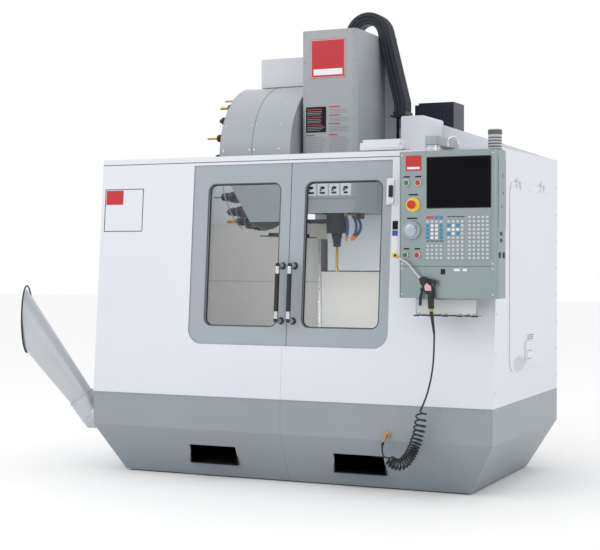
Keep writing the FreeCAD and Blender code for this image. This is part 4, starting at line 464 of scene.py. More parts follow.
CAD_MATERIALS = {
    "base_casting": cast, "levelling_feet": steel, "linear_rails": steel, "saddle": cast,
    "way_cover_middle": pan_steel, "x_rails": steel, "table": steel, "x_screw": steel, "y_screw": steel,
    "z_screw": steel, "axis_motors": motor_black, "column": cast, "column_covers": column_grey,
    "head_casting": low_head, "head_cover": head_skin_lit_apron, "spindle_motor": motor_black,
    "spindle_nose": black_metal, "spindle_tool": gold, "changer_gearbox": black_metal,
    "change_arm": black_metal, "carousel": tools, "changer_shroud": drum_grey, "skirt_left": band_grey,
    "skirt_right": band_grey, "front_panel_left": white, "front_panel_right": white,
    "left_side_panel": white, "right_side_panel": white, "access_door": white, "rear_panel": white,
    "splash_panels": liner, "chip_pan": pan_steel, "auger": black_metal, "chip_chute": chute_metal,
    "left_door": door_grey, "left_window": glass, "left_handle": grip, "right_door": door_grey,
    "right_window": glass, "right_handle": grip, "door_tracks": liner_steel,
    "control_cabinet": cabinet_paint, "coolant_tank": tank_grey, "cable_carrier": navy,
    "pendant_arm": door_grey, "pendant_box": pendant_steel, "pendant_screen": screen_glass,
    "keypad": keypad_base, "power_on_button": green, "power_off_button": red,
    "cycle_start_button": green, "feed_hold_button": red, "estop_button": stop_red,
    "jog_wheel": jog_alu, "beacon": lamp_pale, "air_gun": gun_black, "gun_trigger": gun_black,
    "hose_fitting": brass, "air_hose": hose_black, "air_hose_coil": hose_black,
}
for name, o in NODES.items():
    if not o.data.materials:
        o.data.materials.append(CAD_MATERIALS[name])
    for s in o.material_slots:
        s.material = CAD_MATERIALS[name]

# ---------------------------------------------------------------- air hose
HOSE_DIAMETER = 0.009
UPPER = [(926, -1085, 825), (926, -1085, 745), (912, -1066, 650), (887, -1038, 570), (856, -1003, 504)]
COIL = [(822, -966, 438), (808, -953, 352), (783, -950, 265), (742, -950, 186), (688, -950, 148),
        (634, -948, 182)]
TAIL = [(606, -927, 190), (589, -906, 215), (585, -892, 250)]


def spline_points(route, name, detail):
    """Points along one NURBS spline with the route as its control points."""
    cu = bpy.data.curves.new(name, "CURVE")
    cu.dimensions = "3D"
    sp = cu.splines.new("NURBS")
    sp.points.add(len(route) - 1)
    for q, c in zip(sp.points, route):
        q.co = (c[0] / 1000, c[1] / 1000, c[2] / 1000, 1)
    sp.order_u = 3
    sp.use_endpoint_u = True
    sp.resolution_u = detail
    o = bpy.data.objects.new(name, cu)
    scene.collection.objects.link(o)
    bpy.context.view_layer.update()
    me = bpy.data.meshes.new_from_object(o.evaluated_get(bpy.context.evaluated_depsgraph_get()))
    bpy.data.objects.remove(o)
    out = [me.vertices[0].co * 1000]
    for v in me.vertices:
        if (v.co * 1000 - out[-1]).length > 0.2:
            out.append(v.co * 1000)
    return out


line = spline_points(COIL, "coil_line", 60)
step = [0.0]
for p0, p1 in zip(line, line[1:]):
    step.append(step[-1] + (p1 - p0).length)
total = step[-1]


def on_line(s):
    i = max(1, next((k for k, v in enumerate(step) if v >= s), len(step) - 1))
    t = (s - step[i - 1]) / max(1e-6, step[i] - step[i - 1])
    return line[i - 1].lerp(line[i], t), (line[i] - line[i - 1]).normalized()


COIL_RADIUS = 27.5
STEPS_A_TURN = 16
WIDE_PITCH = 36.0
CLOSE_PITCH = 14.6
PITCH_LOSS = 0.105
LOOSE_STRETCH = 200
helix = []
s = 0.0
angle = 2.6
last = None
while s < total - 3:
    at, along = on_line(s)
    if last is None:
        side = (Vector((1, 0, 0)) - along * along.x).normalized()
    else:
        side = last.rotation_difference(along) @ side
        side = (side - along * side.dot(along)).normalized()
    last = along
    up = along.cross(side)
    fade = min(1.0, 0.25 + s / 26.0, 0.30 + (total - s) / 20.0)
    wobble = 1.0 + 0.05 * math.sin(angle * 0.31) if s < LOOSE_STRETCH else 1.0
    r = COIL_RADIUS * fade * wobble
    helix.append(at + (side * math.cos(angle) + up * math.sin(angle)) * r)
    pitch = max(CLOSE_PITCH, WIDE_PITCH - s * PITCH_LOSS)
    s += pitch / STEPS_A_TURN
    angle -= 2 * PI / STEPS_A_TURN
route = UPPER + [tuple(h) for h in helix] + TAIL
hose_path = [q / 1000 for q in spline_points(route, "hose_line", 4)]
bm = bmesh.new()
sweep(bm, [q * 1000 for q in hose_path], HOSE_DIAMETER * 1000 / 2, 9)
hose = finish_mesh("air_hose_run", bm, hose_black, None, angle=70)
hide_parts("air_hose", "air_hose_coil")
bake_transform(hose)

# ---------------------------------------------------------------- doors
HANDLE_STANDOFF = 62
HANDLE_SPACING = 290
ELBOW = 16
for side, x0, hx in (("left", -474.0, -15.0), ("right", 102.0, 55.0)):
    body = side + "_door"
    z0, z1 = slope_z(824), slope_z(1588)
    loop = rounded_loop(x0 + 1.5, x0 + 432.5, z0 + 1.5, z1 - 1.5, 40.5, FRONT_Y + 7.5, 10)
    tubes(side + "_window_gasket", [loop], 3.6, rubber, body, 8, True, True)
    inner = rounded_loop(x0 + 3, x0 + 431, z0 + 3, z1 - 3, 39, FRONT_Y + 30.5, 10)
    tubes(side + "_pane_bead", [inner], 4.0, dark_rubber, body, 8, True, True)
    zl = slope_z(857)
    zh = zl + HANDLE_SPACING
    bar_y = FRONT_Y + 6 - HANDLE_STANDOFF
    paths = []
    for z, d in ((zl, 1), (zh, -1)):
        pts = [(hx, FRONT_Y + 6 - 5, z), (hx, bar_y + ELBOW, z)]
        for k in range(1, 7):
            t = PI / 2 * k / 6
            pts.append((hx, bar_y + ELBOW * (1 - math.sin(t)), z + d * ELBOW * (1 - math.cos(t))))
        pts.append((hx, bar_y, z + d * 46))
        paths.append(pts)
    tubes(side + "_handle_elbows", paths, 13.2, chrome, body, 18, False, True)
    turned(side + "_handle_bosses", [((hx, FRONT_Y + 5.5, z), TO_FRONT) for z in (zl, zh)],
           [(19, -3), (19, 3.5), (17.5, 6), (13.5, 7), (13.3, 2)], grip, body, 28, True)
    bands = [((hx, bar_y, zl + 52 + k * 15.2), UPWARD) for k in range(13)]
    turned(side + "_grip_rings", bands, [(11.5, 0), (13.3, 1.2), (13.3, 5.2), (11.5, 6.4)], grip, body, 20,
           True)

# ---------------------------------------------------------------- head front graphics
HY = -220.3
plates("head_square_red", [rect(-108, 101, 2203, 2420, HY, 3)], 1.2, print_red, "head")
plates("head_square_bar", [rect(-92, 85, 2219, 2253, HY - 1.2, 2)], 0.6, print_white, "head")
tubes("head_square_border", [rounded_loop(-104, 97, 2207, 2416, 3, HY - 1.2, 3)], 1.2, print_white, "head",
      6, True)
plates("head_placard", [rect(-139, -15, 1897, 2041, HY, 3)], 1.2, print_and_gap_shade_black, "head")
plates("head_placard_heads", [rect(-131, -40, z, z + 6, HY - 1.2, 1) for z in (2024, 1980, 1936)]
       + [rect(2, 70, z, z + 6, HY, 1) for z in (2036, 1988, 1940)], 0.5, print_red, "head")
rows = []
random.seed(5)
for z in (2015, 2006, 1997, 1971, 1962, 1953, 1927, 1918, 1909):
    rows.append(rect(-131, -24 - random.random() * 26, z - 2, z + 1.6, HY - 1.2, 0.8))
plates("head_placard_rows", rows, 0.5, print_grey, "head")
rows = []
for z in (2024, 2015, 2006, 1976, 1967, 1958, 1928, 1919, 1910, 1901):
    rows.append(rect(2, 124 - random.random() * 22, z - 2, z + 1.6, HY, 0.8))
for k in range(14):
    z = 1870 - k * 9
    rows.append(rect(-139, -14 - random.random() * 24, z - 1.6, z + 1.4, HY, 0.7))
    rows.append(rect(4, 125 - random.random() * 24, z - 1.6, z + 1.4, HY, 0.7))
plates("head_text_rows", rows, 0.5, print_soft, "head")
plates("head_text_heads", [rect(x, x + 52, 1878, 1884, HY, 1) for x in (-139, 4)], 0.6, print_red, "head")
pads = [(-139, -76), (-68, -5), (3, 66), (74, 137)]
plates("head_pictograms", [rect(a, b, 1539, 1607, HY, 3) for a, b in pads], 1.0, plate_pale, "head")
marks = []
for i, (a, b) in enumerate(pads):
    c = (a + b) / 2
    marks.append([(c + 15 * math.cos(PI * k / 7), HY - 1.0,
                   1583 + 9 * math.sin(PI * k / 7)) for k in range(14)])
    marks.append(rect(c - 22 + 3 * i, c + 18 - 2 * i, 1549, 1561, HY - 1.0, 4))
    marks.append([(c - 20, HY - 1.0, 1566), (c - 4 + 3 * i, HY - 1.0, 1566), (c - 14, HY - 1.0, 1578)])
plates("head_pictogram_marks", marks, 0.5, print_and_gap_shade_black, "head")
pts = [(sx * 228, 226.5, z) for sx in (-1, 1) for z in range(1620, 2440, 135)]
screws("head_flange_screws", pts, TO_FRONT, chrome, "head", 5.5, 3)
pts = [(sx * 150, -220, z) for sx in (-1, 1) for z in (1470, 1635, 1800, 1965, 2130, 2295, 2450)]
screws("head_face_screws", pts, TO_FRONT, head_grey, "head", 5.0, 2.2)
slabs("head_cover_seams", [(-169.6, 169.6, -220.8, -218, 1521, 1523.5)], seam, "head", 0.4)

# ---------------------------------------------------------------- coolant nozzles round the spindle nose
random.seed(11)
beads, tips, seats = [], [], []
starts = [(88, -178, 1441), (112, -132, 1441), (112, -82, 1441), (92, -38, 1441)]
for i, (x, y, z) in enumerate(starts):
    out = Vector((x, y - SPINDLE_Y, 0)).normalized()
    ctrl = [Vector((x, y, z - 16)), Vector((x, y, z - 46)) + out * 26,
            Vector((x, y, z - 84)) + out * (34 + 5 * i),
            Vector((x, y, z - 128)) + out * (14 - 6 * i)]
    pts = []
    for k in range(41):
        t = k / 40
        pts.append(ctrl[0] * (1 - t) ** 3 + ctrl[1] * 3 * t * (1 - t) ** 2
                   + ctrl[2] * 3 * t * t * (1 - t) + ctrl[3] * t ** 3)
    beads.append(pts)
    d = (pts[-1] - pts[-3]).normalized()
    tips.append(((pts[-1] - d * 2), d))
    seats.append(((x, y, z + 6), (0, 0, -1)))
bm = bmesh.new()
for pts in beads:
    sweep(bm, pts, [5.2 + 4.4 * abs(math.sin(PI * k * 9 / 40)) for k in range(41)], 12)
finish_mesh("coolant_hoses", bm, teal, "head")
turned("coolant_nozzle_tips", tips,
       [(6, 0), (9.5, 2), (9.5, 10), (6.5, 24), (4.6, 34), (3.2, 34), (2.8, 28), (0, 28)], orange, "head", 16)
turned("coolant_fittings", seats, [(0, 0), (12, 0), (12, 10), (9, 12), (9, 20), (10.5, 21), (10.5, 27),
                                   (0, 27)],
       brass, "head", 6, angle=25)
flute = [(0, SPINDLE_Y, 1116 + 118 * k / 60) for k in range(61)]
bm = bmesh.new()
sweep(bm, flute, [7.2 + 1.0 * abs(math.sin(PI * k / 7.5)) for k in range(61)], 14)
finish_mesh("drill_flutes", bm, gold, "spindle")
turned("holder_rings", [((0, SPINDLE_Y, 1255), UPWARD)],
       [(18, -2), (22, 0), (22, 14), (19.5, 16), (19.5, 20), (24.6, 22), (24.6, 36), (22, 40)],
       black_metal, "spindle", 30)
turned("nose_rings", [((0, SPINDLE_Y, 1329), UPWARD)],
       [(52, -0.6), (60.8, -0.6), (60.8, 8), (58, 9), (58, 13), (61, 14), (61, 30), (58, 31)],
       black_metal, "head", 48)
slabs("head_sensor_box", [(138, 168, -150, -90, 1408, 1441)], black_metal, "head", 3)

# ---------------------------------------------------------------- cable carrier conduits
ARCH_X = 96.0
ARCH_Z = 2481.0
ARCH_RADIUS = 102
DROP_X = 300
CLAMP_Z = 2014
SLANT = math.radians(14)
slant_x = ARCH_X + ARCH_RADIUS * math.cos(SLANT)
slant_z = ARCH_Z + ARCH_RADIUS * math.sin(SLANT)
bend_z = slant_z - (DROP_X - slant_x) / math.tan(SLANT)


def carrier(offset):
    """Centre line of one conduit at this offset outward from the middle of the carrier."""
    pts = [(-6 - offset, ARCH_Z - 7)]
    r = ARCH_RADIUS + offset
    for k in range(33):
        t = PI + (SLANT - PI) * k / 32
        pts.append((ARCH_X + r * math.cos(t), ARCH_Z + r * math.sin(t)))
    low = offset * math.tan(SLANT / 2)
    a = pts[-1]
    b = (DROP_X + offset, bend_z + low)
    for k in range(1, 11):
        pts.append((a[0] + (b[0] - a[0]) * k / 10, a[1] + (b[1] - a[1]) * k / 10))
    n = 8
    for k in range(1, n + 1):
        pts.append((DROP_X + offset, b[1] + (CLAMP_Z - b[1]) * k / n))
    return pts


def ribbed(points, r, pitch=9.0):
    """Points every third of a rib, with a radius that swells at each rib."""
    out, radii, carry, k = [], [], 0.0, 0
    for p, q in zip(points, points[1:]):
        p, q = Vector(p), Vector(q)
        length = (q - p).length
        while carry < length:
            out.append(p.lerp(q, carry / length))
            radii.append(r if k % 3 else r - 2.2)
            carry += pitch / 3
            k += 1
        carry -= length
    return out, radii


for tag, jobs in (("outer", [(28, y) for y in (131, 151.5, 172, 192.5, 213)]),
                  ("front", [(14, 121), (-7, 121), (-26, 125)])):
    bm = bmesh.new()
    for off, y in jobs:
        pts, radii = ribbed([(x, y, z) for x, z in carrier(off)], 9.6)
        sweep(bm, pts, radii, 9)
    finish_mesh("carrier_conduits_" + tag, bm, navy, "machine", angle=80)
slabs("carrier_clamp", [(262, 340, 108, 232, 2012, 2032), (-46, 34, 108, 232, 2474, 2486)], black_metal,
      "machine", 2)

# ---------------------------------------------------------------- magazine drum
DY = 104.0
DZ = 1765.0
DR = 434.0
POCKET_CIRCLE_R = 378
POCKETS = 20


def arc(x, r, a0, a1, n=60):
    return [(x, DY + r * math.cos(math.radians(a0 + (a1 - a0) * k / n)),
             DZ + r * math.sin(math.radians(a0 + (a1 - a0) * k / n))) for k in range(n + 1)]


tubes("drum_seam", [arc(-430, DR + 0.3, 20, 245)], 1.3, seam, "machine", 6)
tubes("drum_rim_bead", [arc(-633, DR - 1.2, 15, 250, 90)], 3.4, drum_grey, "machine", 8)
pts = [(x, DY + (DR - 0.5) * math.cos(math.radians(t)), DZ + (DR - 0.5) * math.sin(math.radians(t)))
       for x in (-612, -446, -414, -262) for t in range(95, 236, 20)]
places = [(q, (0, q[1] - DY, q[2] - DZ)) for q in pts]
turned("drum_screws", places, [(5.5, -0.5), (5.5, 1.2), (4.4, 2.4), (2.4, 2.8), (2.2, 1.3), (0, 1.3)],
       chrome, "machine", 12)
stations, cutters = [], []
lengths = (60.0, 110.0, 85.0, 45.0, 98.0)
for k in range(POCKETS):
    if k % 6 == 5:
        continue
    t = 2 * PI * k / POCKETS
    y = DY + POCKET_CIRCLE_R * math.cos(t)
    z = DZ + POCKET_CIRCLE_R * math.sin(t)
    stations.append(((-626, y, z), (-1, 0, 0)))
    r = 5.0 + 2.0 * (k % 3)
    reach = lengths[k % 5]
    path = [(-688 - (reach - 34) * j / 24, y, z) for j in range(25)]
    cutters.append((path, [r * (1.04 + 0.16 * abs(math.sin(j * 0.9))) for j in range(24)] + [r * 0.4]))
turned("magazine_chucks", stations,
       [(21, 0), (25.5, 2), (25.5, 12), (23.5, 14), (23.5, 18), (25.5, 20), (25.5, 34), (22, 37), (22, 52),
        (19, 58), (11, 61), (0, 61)], black_metal, "carousel", 22)
bm = bmesh.new()
for path, radii in cutters:
    sweep(bm, path, radii, 10)
cutter_gold = surface("cutter_gold", lin(196, 154, 76), 0.3, 0.85, grain=400, bump=0.2, vary=0.25, patch=9)
finish_mesh("magazine_cutters", bm, cutter_gold, "carousel")

# ---------------------------------------------------------------- enclosure details
slabs("badge_frame", [(-1128, -880, -861.2, -859.8, 1337, 1340.5),
                      (-1128, -880, -861.2, -859.8, 1571.5, 1575),
                      (-1128, -1124.5, -861.2, -859.8, 1340.5, 1571.5),
                      (-883.5, -880, -861.2, -859.8, 1340.5, 1571.5)],
      print_and_gap_shade_black, "machine", 0.3, True)
plates("badge_corner", [rect(-1120, -1010, 1488, 1567, -860.1, 2)], 1.0, print_red, "machine", True)
for tag, z0, z1, mat in (("strip", 1332, 1376, print_and_gap_shade_black), ("blue", 1300, 1327, print_blue),
                         ("white", 1214, 1297, print_white), ("yellow", 1190, 1210, print_yellow)):
    slabs("front_label_" + tag, [(598, 628, -861, -859.8, slope_z(z0), slope_z(z1))], mat, "machine", 0.3,
          True)
slabs("interlock_bracket", [(572, 604, -872, -858.5, 1470, 1590), (560, 622, -862, -859, 1462, 1600)],
      plate_pale, "machine", 1.5, True)
slabs("interlock_switch", [(577, 599, -880, -870, 1500, 1560)], black_metal, "machine", 2, True)
slabs("front_trim_strip", [(-1149, 1149, -861.2, -859.7, slope_z(1704), slope_z(1708))], seam, "machine",
      0.4, True)
slabs("band_top_bead", [(-1150, 1150, -862.5, -859, 442.5, 446)], band_grey, "machine", 1.0)
pts = [(SIDE_X, 396, z) for z in range(520, 1731, 152)] + [(SIDE_X, y, 432) for y in range(-800, 400, 150)]
pts += [(SIDE_X, -835 + LEAN_SLOPE * (z - BAND_Z), z) for z in range(520, 1700, 195)]
screws("right_side_screws", pts, TO_RIGHT, chrome, "machine", 5.5, 3)
pts = [(-SIDE_X, 396, z) for z in range(520, 1731, 152)] + [(-SIDE_X, y, 432) for y in range(-800, 400, 150)]
screws("left_side_screws", pts, TO_LEFT, chrome, "machine", 5.5, 3)
pts = [(sx * (SIDE_X - 20), 409, z) for sx in (-1, 1) for z in range(520, 1700, 147)]
pts += [(xx, 409, 432) for xx in range(-1100, 1101, 200)]
screws("rear_screws", pts, TO_BACK, chrome, "machine", 5.5, 3)
pts = [(xx, -860, 300) for xx in (-1110, 1110)] + [(xx, -860, 430) for xx in range(-1100, 1101, 220)]
screws("band_screws", pts, TO_FRONT, band_grey, "machine", 5.0, 2.0)
plates("access_label", [[(1154.3, y, z) for y, z in ((-255, 749), (-94, 749), (-94, 789), (-255, 789))]], 0.8,
       plate_pale, "access_door", normal=TO_RIGHT)
plates("access_label_rows", [[(1155.1, a, z), (1155.1, b, z), (1155.1, b, z + 5), (1155.1, a, z + 5)]
                             for a, b, z in ((-245, -110, 776), (-245, -130, 766), (-245, -120, 756))], 0.4,
       print_grey, "access_door", normal=TO_RIGHT)
slabs("access_latch_paddle", [(1160, 1166, -272, -188, 658, 697)], plate_pale, "access_door", 2)
ring = [(1154.6, -399 + 105 * math.cos(2 * PI * k / 40),
         640 + 38 * math.sin(2 * PI * k / 40)) for k in range(40)]
tubes("access_finger_rim", [ring], 2.6, white, "access_door", 8, True)
plates("access_finger_dish", [ring], 0.8, tray_pale, "access_door", normal=TO_RIGHT)
pts = [(1154, y, 1545) for y in (-548, -380, -200, -20, 160)]
screws("access_screws", pts, TO_RIGHT, chrome, "access_door", 5, 2.6)

# ---------------------------------------------------------------- interior seen through the windows
random.seed(21)
# a dark sheet with a ragged top over the left splash panel: partly its dark top trim, partly painted shade of
# the shaded interior above
jag = [(-640, 391, 1424)]
for k in range(42):
    jag.append((-640 + 378 * k / 41, 391, 1394 + random.random() * 9))
jag.append((-262, 391, 1424))
plates("splash_trim_and_shade_left", [jag], 4.0, trim_and_shade_teal, "machine")
slabs("liner_strip_right", [(262, 640, 388, 396, 1300, 1314)], liner_steel, "machine", 1.2)
slabs("liner_seams", [(264, 1100, 394.5, 396.5, 1136, 1139), (-1100, -264, 394.5, 396.5, 1040, 1042)], seam,
      "machine", 0.4)
slabs("liner_corner_strip", [(246, 266, 234, 240, 745, 1300), (-266, -246, 234, 240, 745, 1300)],
      liner_steel, "machine", 1.0)
pts = [(xx, 234, z) for xx in (-256, 256) for z in range(775, 1300, 75)]
pts += [(xx, 388, 1307) for xx in range(290, 640, 60)]
screws("liner_screws", pts, TO_FRONT, chrome, "machine", 5, 2.6)
# dark liners inside the fork pockets: painted shade, standing in for the shadow inside them
for side in (-1, 1):
    a, b = sorted((side * 284, side * 565))
    slabs(("left" if side < 0 else "right") + "_fork_pocket_shade",
          [(a - 3, a, -800, -230, 74, 180), (b, b + 3, -800, -230, 74, 180), (a, b, -800, -230, 74, 77),
           (a, b, -800, -230, 177, 180)], pocket_shade_dark, "machine", 0.5)
slabs("header_lamp_hood", [(400, 640, -752, -626, 1738, 1797)], white, "machine", 16, segments=4)

# ---------------------------------------------------------------- chip chute mouth
KNEE = Vector((-1210, -755, 300))
RISE = Vector((-367, -135, 520))
COLLAR = 130.0
LOW_R = 70
MOUTH_GROWTH = 42.0
SCREW_COUNT = 6
along = RISE.normalized()
level = Vector((RISE.x, RISE.y, 0)).normalized()
over = (Vector((0, 0, 1)) - along * along.z).normalized()
across = along.cross(over)
slope = MOUTH_GROWTH / (RISE.length - COLLAR)


def spoke(t):
    """Unit vector out from the chute's own axis."""
    return over * math.cos(t) + across * math.sin(t)


mouth = []
for k in range(72):
    e = spoke(2 * PI * k / 72)
    out = e.dot(level)
    s = (RISE.dot(level) - (LOW_R - COLLAR * slope) * out) / (along.dot(level) + slope * out)
    mouth.append(KNEE + along * s + e * (LOW_R + slope * (s - COLLAR)) - level * 1.5)
tubes("chute_mouth_edging", [mouth], 4.6, dark_rubber, "machine", 8, True)
bands = []
for s in (10, 124):
    bands.append([KNEE + along * s + spoke(2 * PI * k / 48) * 77 for k in range(48)])
tubes("chute_collar_beads", bands, 2.6, chute_metal, "machine", 8, True)
pts = []
for k in range(SCREW_COUNT):
    e = spoke(2 * PI * k / SCREW_COUNT + 0.4)
    pts.append((KNEE + along * 64 + e * 75.5, e))
turned("chute_collar_screws", pts, [(6, -0.5), (6, 2), (4.6, 4), (0, 4.4)], chrome, "machine", 6, angle=25)

# ---------------------------------------------------------------- pendant
FY = -1060.0
KEY_WIDTH = 14.5
KEY_GROUPS = ((877, 22.6, 4), (984, 22.4, 4), (1088, 21.8, 5))
STOP_X = 809
STOP_Z = 1445
JOG_X = 803
JOG_Z = 1322
BEACON_X = 1192
BEACON_Y = -970
BUTTONS = ((776, 1551), (835, 1551), (770, 1201), (831, 1201))
keys, blues, whites, oranges, heads = [], [], [], [], []
for row in range(11):
    top = 1388 - row * 19.4
    for group, (x0, pitch, count) in enumerate(KEY_GROUPS):
        for c in range(count):
            kx = x0 + pitch * c
            cell = (kx, kx + KEY_WIDTH, FY - 4.0, FY - 1.5, top - 13, top)
            if group == 0 and row == 0:
                if c == 0:
                    oranges.append((kx, kx + KEY_WIDTH + pitch, FY - 4.2, FY - 1.5, top - 10, top - 1))
                elif c > 1:
                    blues.append(cell)
                continue
            if (row == 0 and group == 1) or (row == 6 and group == 0):
                heads.append((kx, kx + KEY_WIDTH + 4, FY - 2.6, FY - 1.5, top - 5, top - 1))
                continue
            outer_key = group == 0 and 2 <= row <= 5 and c in (0, 3)
            corner_key = group == 1 and row in (2, 4) and c in (0, 2)
            if outer_key or corner_key:
                blues.append(cell)
            elif (group == 1 and row in (2, 3, 4) and c in (0, 1, 2)) or (group == 0 and 2 <= row <= 5):
                whites.append(cell)
            else:
                keys.append(cell)
for tag, cells, mat in (("grey", keys, key_grey), ("blue", blues, key_blue), ("white", whites, key_white),
                        ("red", oranges, key_orange)):
    slabs("keypad_keys_" + tag, cells, mat, "pendant", 1.0, segments=1)
slabs("keypad_heading_bars", heads, print_and_gap_shade_black, "pendant", 0.3, segments=1)
rims = [(c[0] - 1.1, c[1] + 1.1, FY - 2.5, FY - 1.5, c[4] - 1.1, c[5] + 1.1)
        for c in keys + blues + whites + oranges]
slabs("keypad_key_wells", rims, seam, "pendant", 0.3, segments=1)
tubes("screen_bezel", [rounded_loop(879, 1199, 1427, 1672, 4, FY - 0.2, 4)], 2.2, dark_rubber, "pendant", 8,
      True)
tubes("screen_inner_line", [rounded_loop(889, 1189, 1437, 1662, 3, FY + 3.9, 4)], 0.9, print_and_gap_shade_black,
      "pendant", 6, True)
plates("pendant_square_red", [rect(771, 851, 1609, 1683, FY - 0.1, 3)], 1.0, print_red, "pendant")
plates("pendant_square_bar", [rect(779, 843, 1617, 1628, FY - 1.1, 1)], 0.5, print_white, "pendant")
captions = ((776, 1577, 16), (835, 1577, 16), (STOP_X, 1490, 24), (JOG_X, 1376, 26), (776, 1228, 14),
            (831, 1228, 14))
labels = [rect(cx - w, cx + w, cz, cz + 7, FY - 0.1, 1) for cx, cz, w in captions]
plates("pendant_label_bars", labels, 0.5, print_and_gap_shade_black, "pendant")
turned("button_rims", [((bx, FY - 6, bz), TO_FRONT) for bx, bz in BUTTONS],
       [(16.4, 0), (16.4, 1.2), (14.8, 2.8), (12.6, 2.8), (12.0, 0.6)], chrome, "pendant", 28)
turned("stop_plate_ring", [((STOP_X, FY - 2.6, STOP_Z), TO_FRONT)],
       [(34.6, 0), (34.6, 2), (33, 3.2), (13, 3.2), (12, 1.0)],
       print_yellow, "pendant", 40)
turned("stop_head_cap", [((STOP_X, FY - 20, STOP_Z), TO_FRONT)],
       [(11, 0), (19, 1.5), (20.6, 4.5), (20.6, 11), (18, 14.6), (9, 16), (0, 16.2)],
       stop_red, "stop_button", 36)
ticks = []
for k in range(50):
    t = 2 * PI * k / 50
    outer = 40.5 if k % 5 else 41
    corners = ((34, -0.5), (outer, -0.5), (outer, 0.5), (34 if k % 5 else 31, 0.5))
    ticks.append([Vector((JOG_X + r * math.cos(t) + w * -math.sin(t), FY - 16.1,
                          JOG_Z + r * math.sin(t) + w * math.cos(t))) for r, w in corners])
plates("jog_ticks", ticks, 0.4, print_and_gap_shade_black, "jog")
turned("jog_bezel", [((JOG_X, FY - 0.2, JOG_Z), TO_FRONT)],
       [(48, 0), (48, 2), (46.5, 3.2), (44, 3.2), (43.2, 1.0)], pendant_steel, "pendant", 48)
turned("jog_face", [((JOG_X, FY - 24, JOG_Z), TO_FRONT)],
       [(28.6, -3), (28.6, 0.2), (26.5, 1.6), (8, 1.6), (7, 0.8), (0, 0.8)],
       jog_alu, "jog", 40)
turned("jog_knob", [((JOG_X + 20, FY - 27, JOG_Z + 14), TO_FRONT)],
       [(6.4, 0), (8.2, 2), (8.6, 6), (7.2, 8.6), (0, 9.2)], jog_alu, "jog", 24)
turned("jog_rim_grooves", [((JOG_X, FY - 4 - 3.2 * k, JOG_Z), TO_FRONT) for k in range(4)],
       [(42, 0), (42.9, 0.7), (42.9, 1.6), (42, 2.3)],
       jog_alu, "jog", 48)
slabs("pendant_seam", [(760, 1200, FY - 0.7, FY + 1, 1145.5, 1148.5)], seam, "pendant", 0.4)
slabs("pendant_nameplate", [(1016, 1046, FY - 1.2, FY, 1124, 1136), (1060, 1082, FY - 1.2, FY, 1124, 1136)],
      plate_pale, "pendant", 0.4)
slabs("pendant_key_lock", [(950, 972, FY - 3, FY, 1108, 1134)], black_metal, "pendant", 1.5)
pts = [(xx, FY, zz) for xx in (752, 1208) for zz in (1012, 1134, 1160, 1685)]
screws("pendant_screws", pts, TO_FRONT, chrome, "pendant", 4.6, 2.2)
pts = [(1229, y, z) for y, z in ((-966, 1581), (-960, 1497), (-982, 1432))]
turned("pendant_side_holes", [(q, TO_RIGHT) for q in pts],
       [(8, 0), (8, 1.2), (5.4, 1.6), (5, 0.4), (0, 0.4)], black_metal, "pendant", 20)
slabs("pendant_side_ports", [(1228.4, 1231, -1004, -972, 1294, 1312), (1228.4, 1231, -1004, -972, 1262, 1280),
                             (1228.4, 1232, -1026, -1000, 1186, 1214),
                             (1228.4, 1232, -956, -930, 1186, 1214)],
      black_metal, "pendant", 0.8)
slabs("pendant_side_door", [(1228.6, 1230, -1036, -912, 1330, 1660)], pendant_steel, "pendant", 0.6)
zig = [(804, -1003.5, 985)]
random.seed(8)
for k in range(27):
    zig.append((804 + 310 * (k + 0.5) / 27, -1003.5, 912 + random.random() * 10 - (4 if k % 3 == 0 else 0)))
zig.append((1114, -1003.5, 985))
plates("tray_front_sheet", [zig], 2.0, tray_pale, "pendant")
# dark blocks along the tray's ragged bottom edge
edge = []
for k in range(9):
    a = 792 + 36.5 * k
    edge.append((a, a + 30 + (k % 3) * 3, -1010, -1000, 903 + (k % 2) * 2, 909 + (k % 2) * 2))
slabs("tray_dark_bottom_edge", edge, black_metal, "pendant", 1.2)
turned("beacon_rings", [((BEACON_X, BEACON_Y, 1703 + h), UPWARD) for h in (0, 14, 28, 42, 56)],
       [(32.2, 0), (33.6, 1.2), (33.6, 5.4), (32.2, 6.6)], lamp_dark, "pendant", 40)
turned("beacon_cap", [((BEACON_X, BEACON_Y, 1801.4), UPWARD)],
       [(33.4, -24), (34, -22), (34, -3), (31, 0.4), (0, 1.2)], lamp_dark, "pendant", 40)
tubes("swivel_hook", [[(961, -985, 1726), (961, -985, 1750), (968, -985, 1766), (985, -985, 1773),
                       (1002, -985, 1768),
                       (1011, -985, 1752), (1014, -985, 1736)]], 6.0, chrome, "pendant", 12)
turned("swivel_collar", [((880, -975, 1703), UPWARD)],
       [(38, -0.5), (38, 6), (34, 9), (34, 26), (38, 29), (38, 32.5)], chrome, "pendant", 36)

# ---------------------------------------------------------------- air gun
GY = -1085.0
label_pink = surface("gun_label_pink", lin(206, 168, 172), 0.45, vary=0.05)
plates("gun_label", [[(884, GY - 13.2, 1030), (916, GY - 13.2, 1030), (914, GY - 13.2, 1052),
                      (892, GY - 13.2, 1066),
                      (880, GY - 13.2, 1052)]], 0.6, label_pink, "pendant")
turned("gun_grip_bands", [((911, GY, 929), UPWARD)],
       [(9.2, 0), (10.6, 1.2), (10.6, 5), (9.4, 6), (9.4, 9), (10.6, 10), (10.6, 14), (9.2, 15)], brass,
       "pendant", 20)
tubes("gun_neck_tube", [[(864, GY, 1078), (826, GY, 1121), (794, GY, 1158), (786, GY, 1165),
                         (776, GY, 1171), (740, GY, 1191)]],
      4.6, chrome, "pendant", 14)
turned("gun_tip", [((741, GY, 1190.5), (-16, 0, 9))],
       [(4.6, -1), (7.4, 0), (7.4, 9), (5.4, 14), (3.4, 17.5), (0, 17.5)], brass, "pendant", 18)
slabs("gun_grip_ribs", [(899, 921.6, GY - 14, GY + 14, z, z + 5) for z in range(952, 1006, 9)], gun_black,
      "pendant", 1.4)

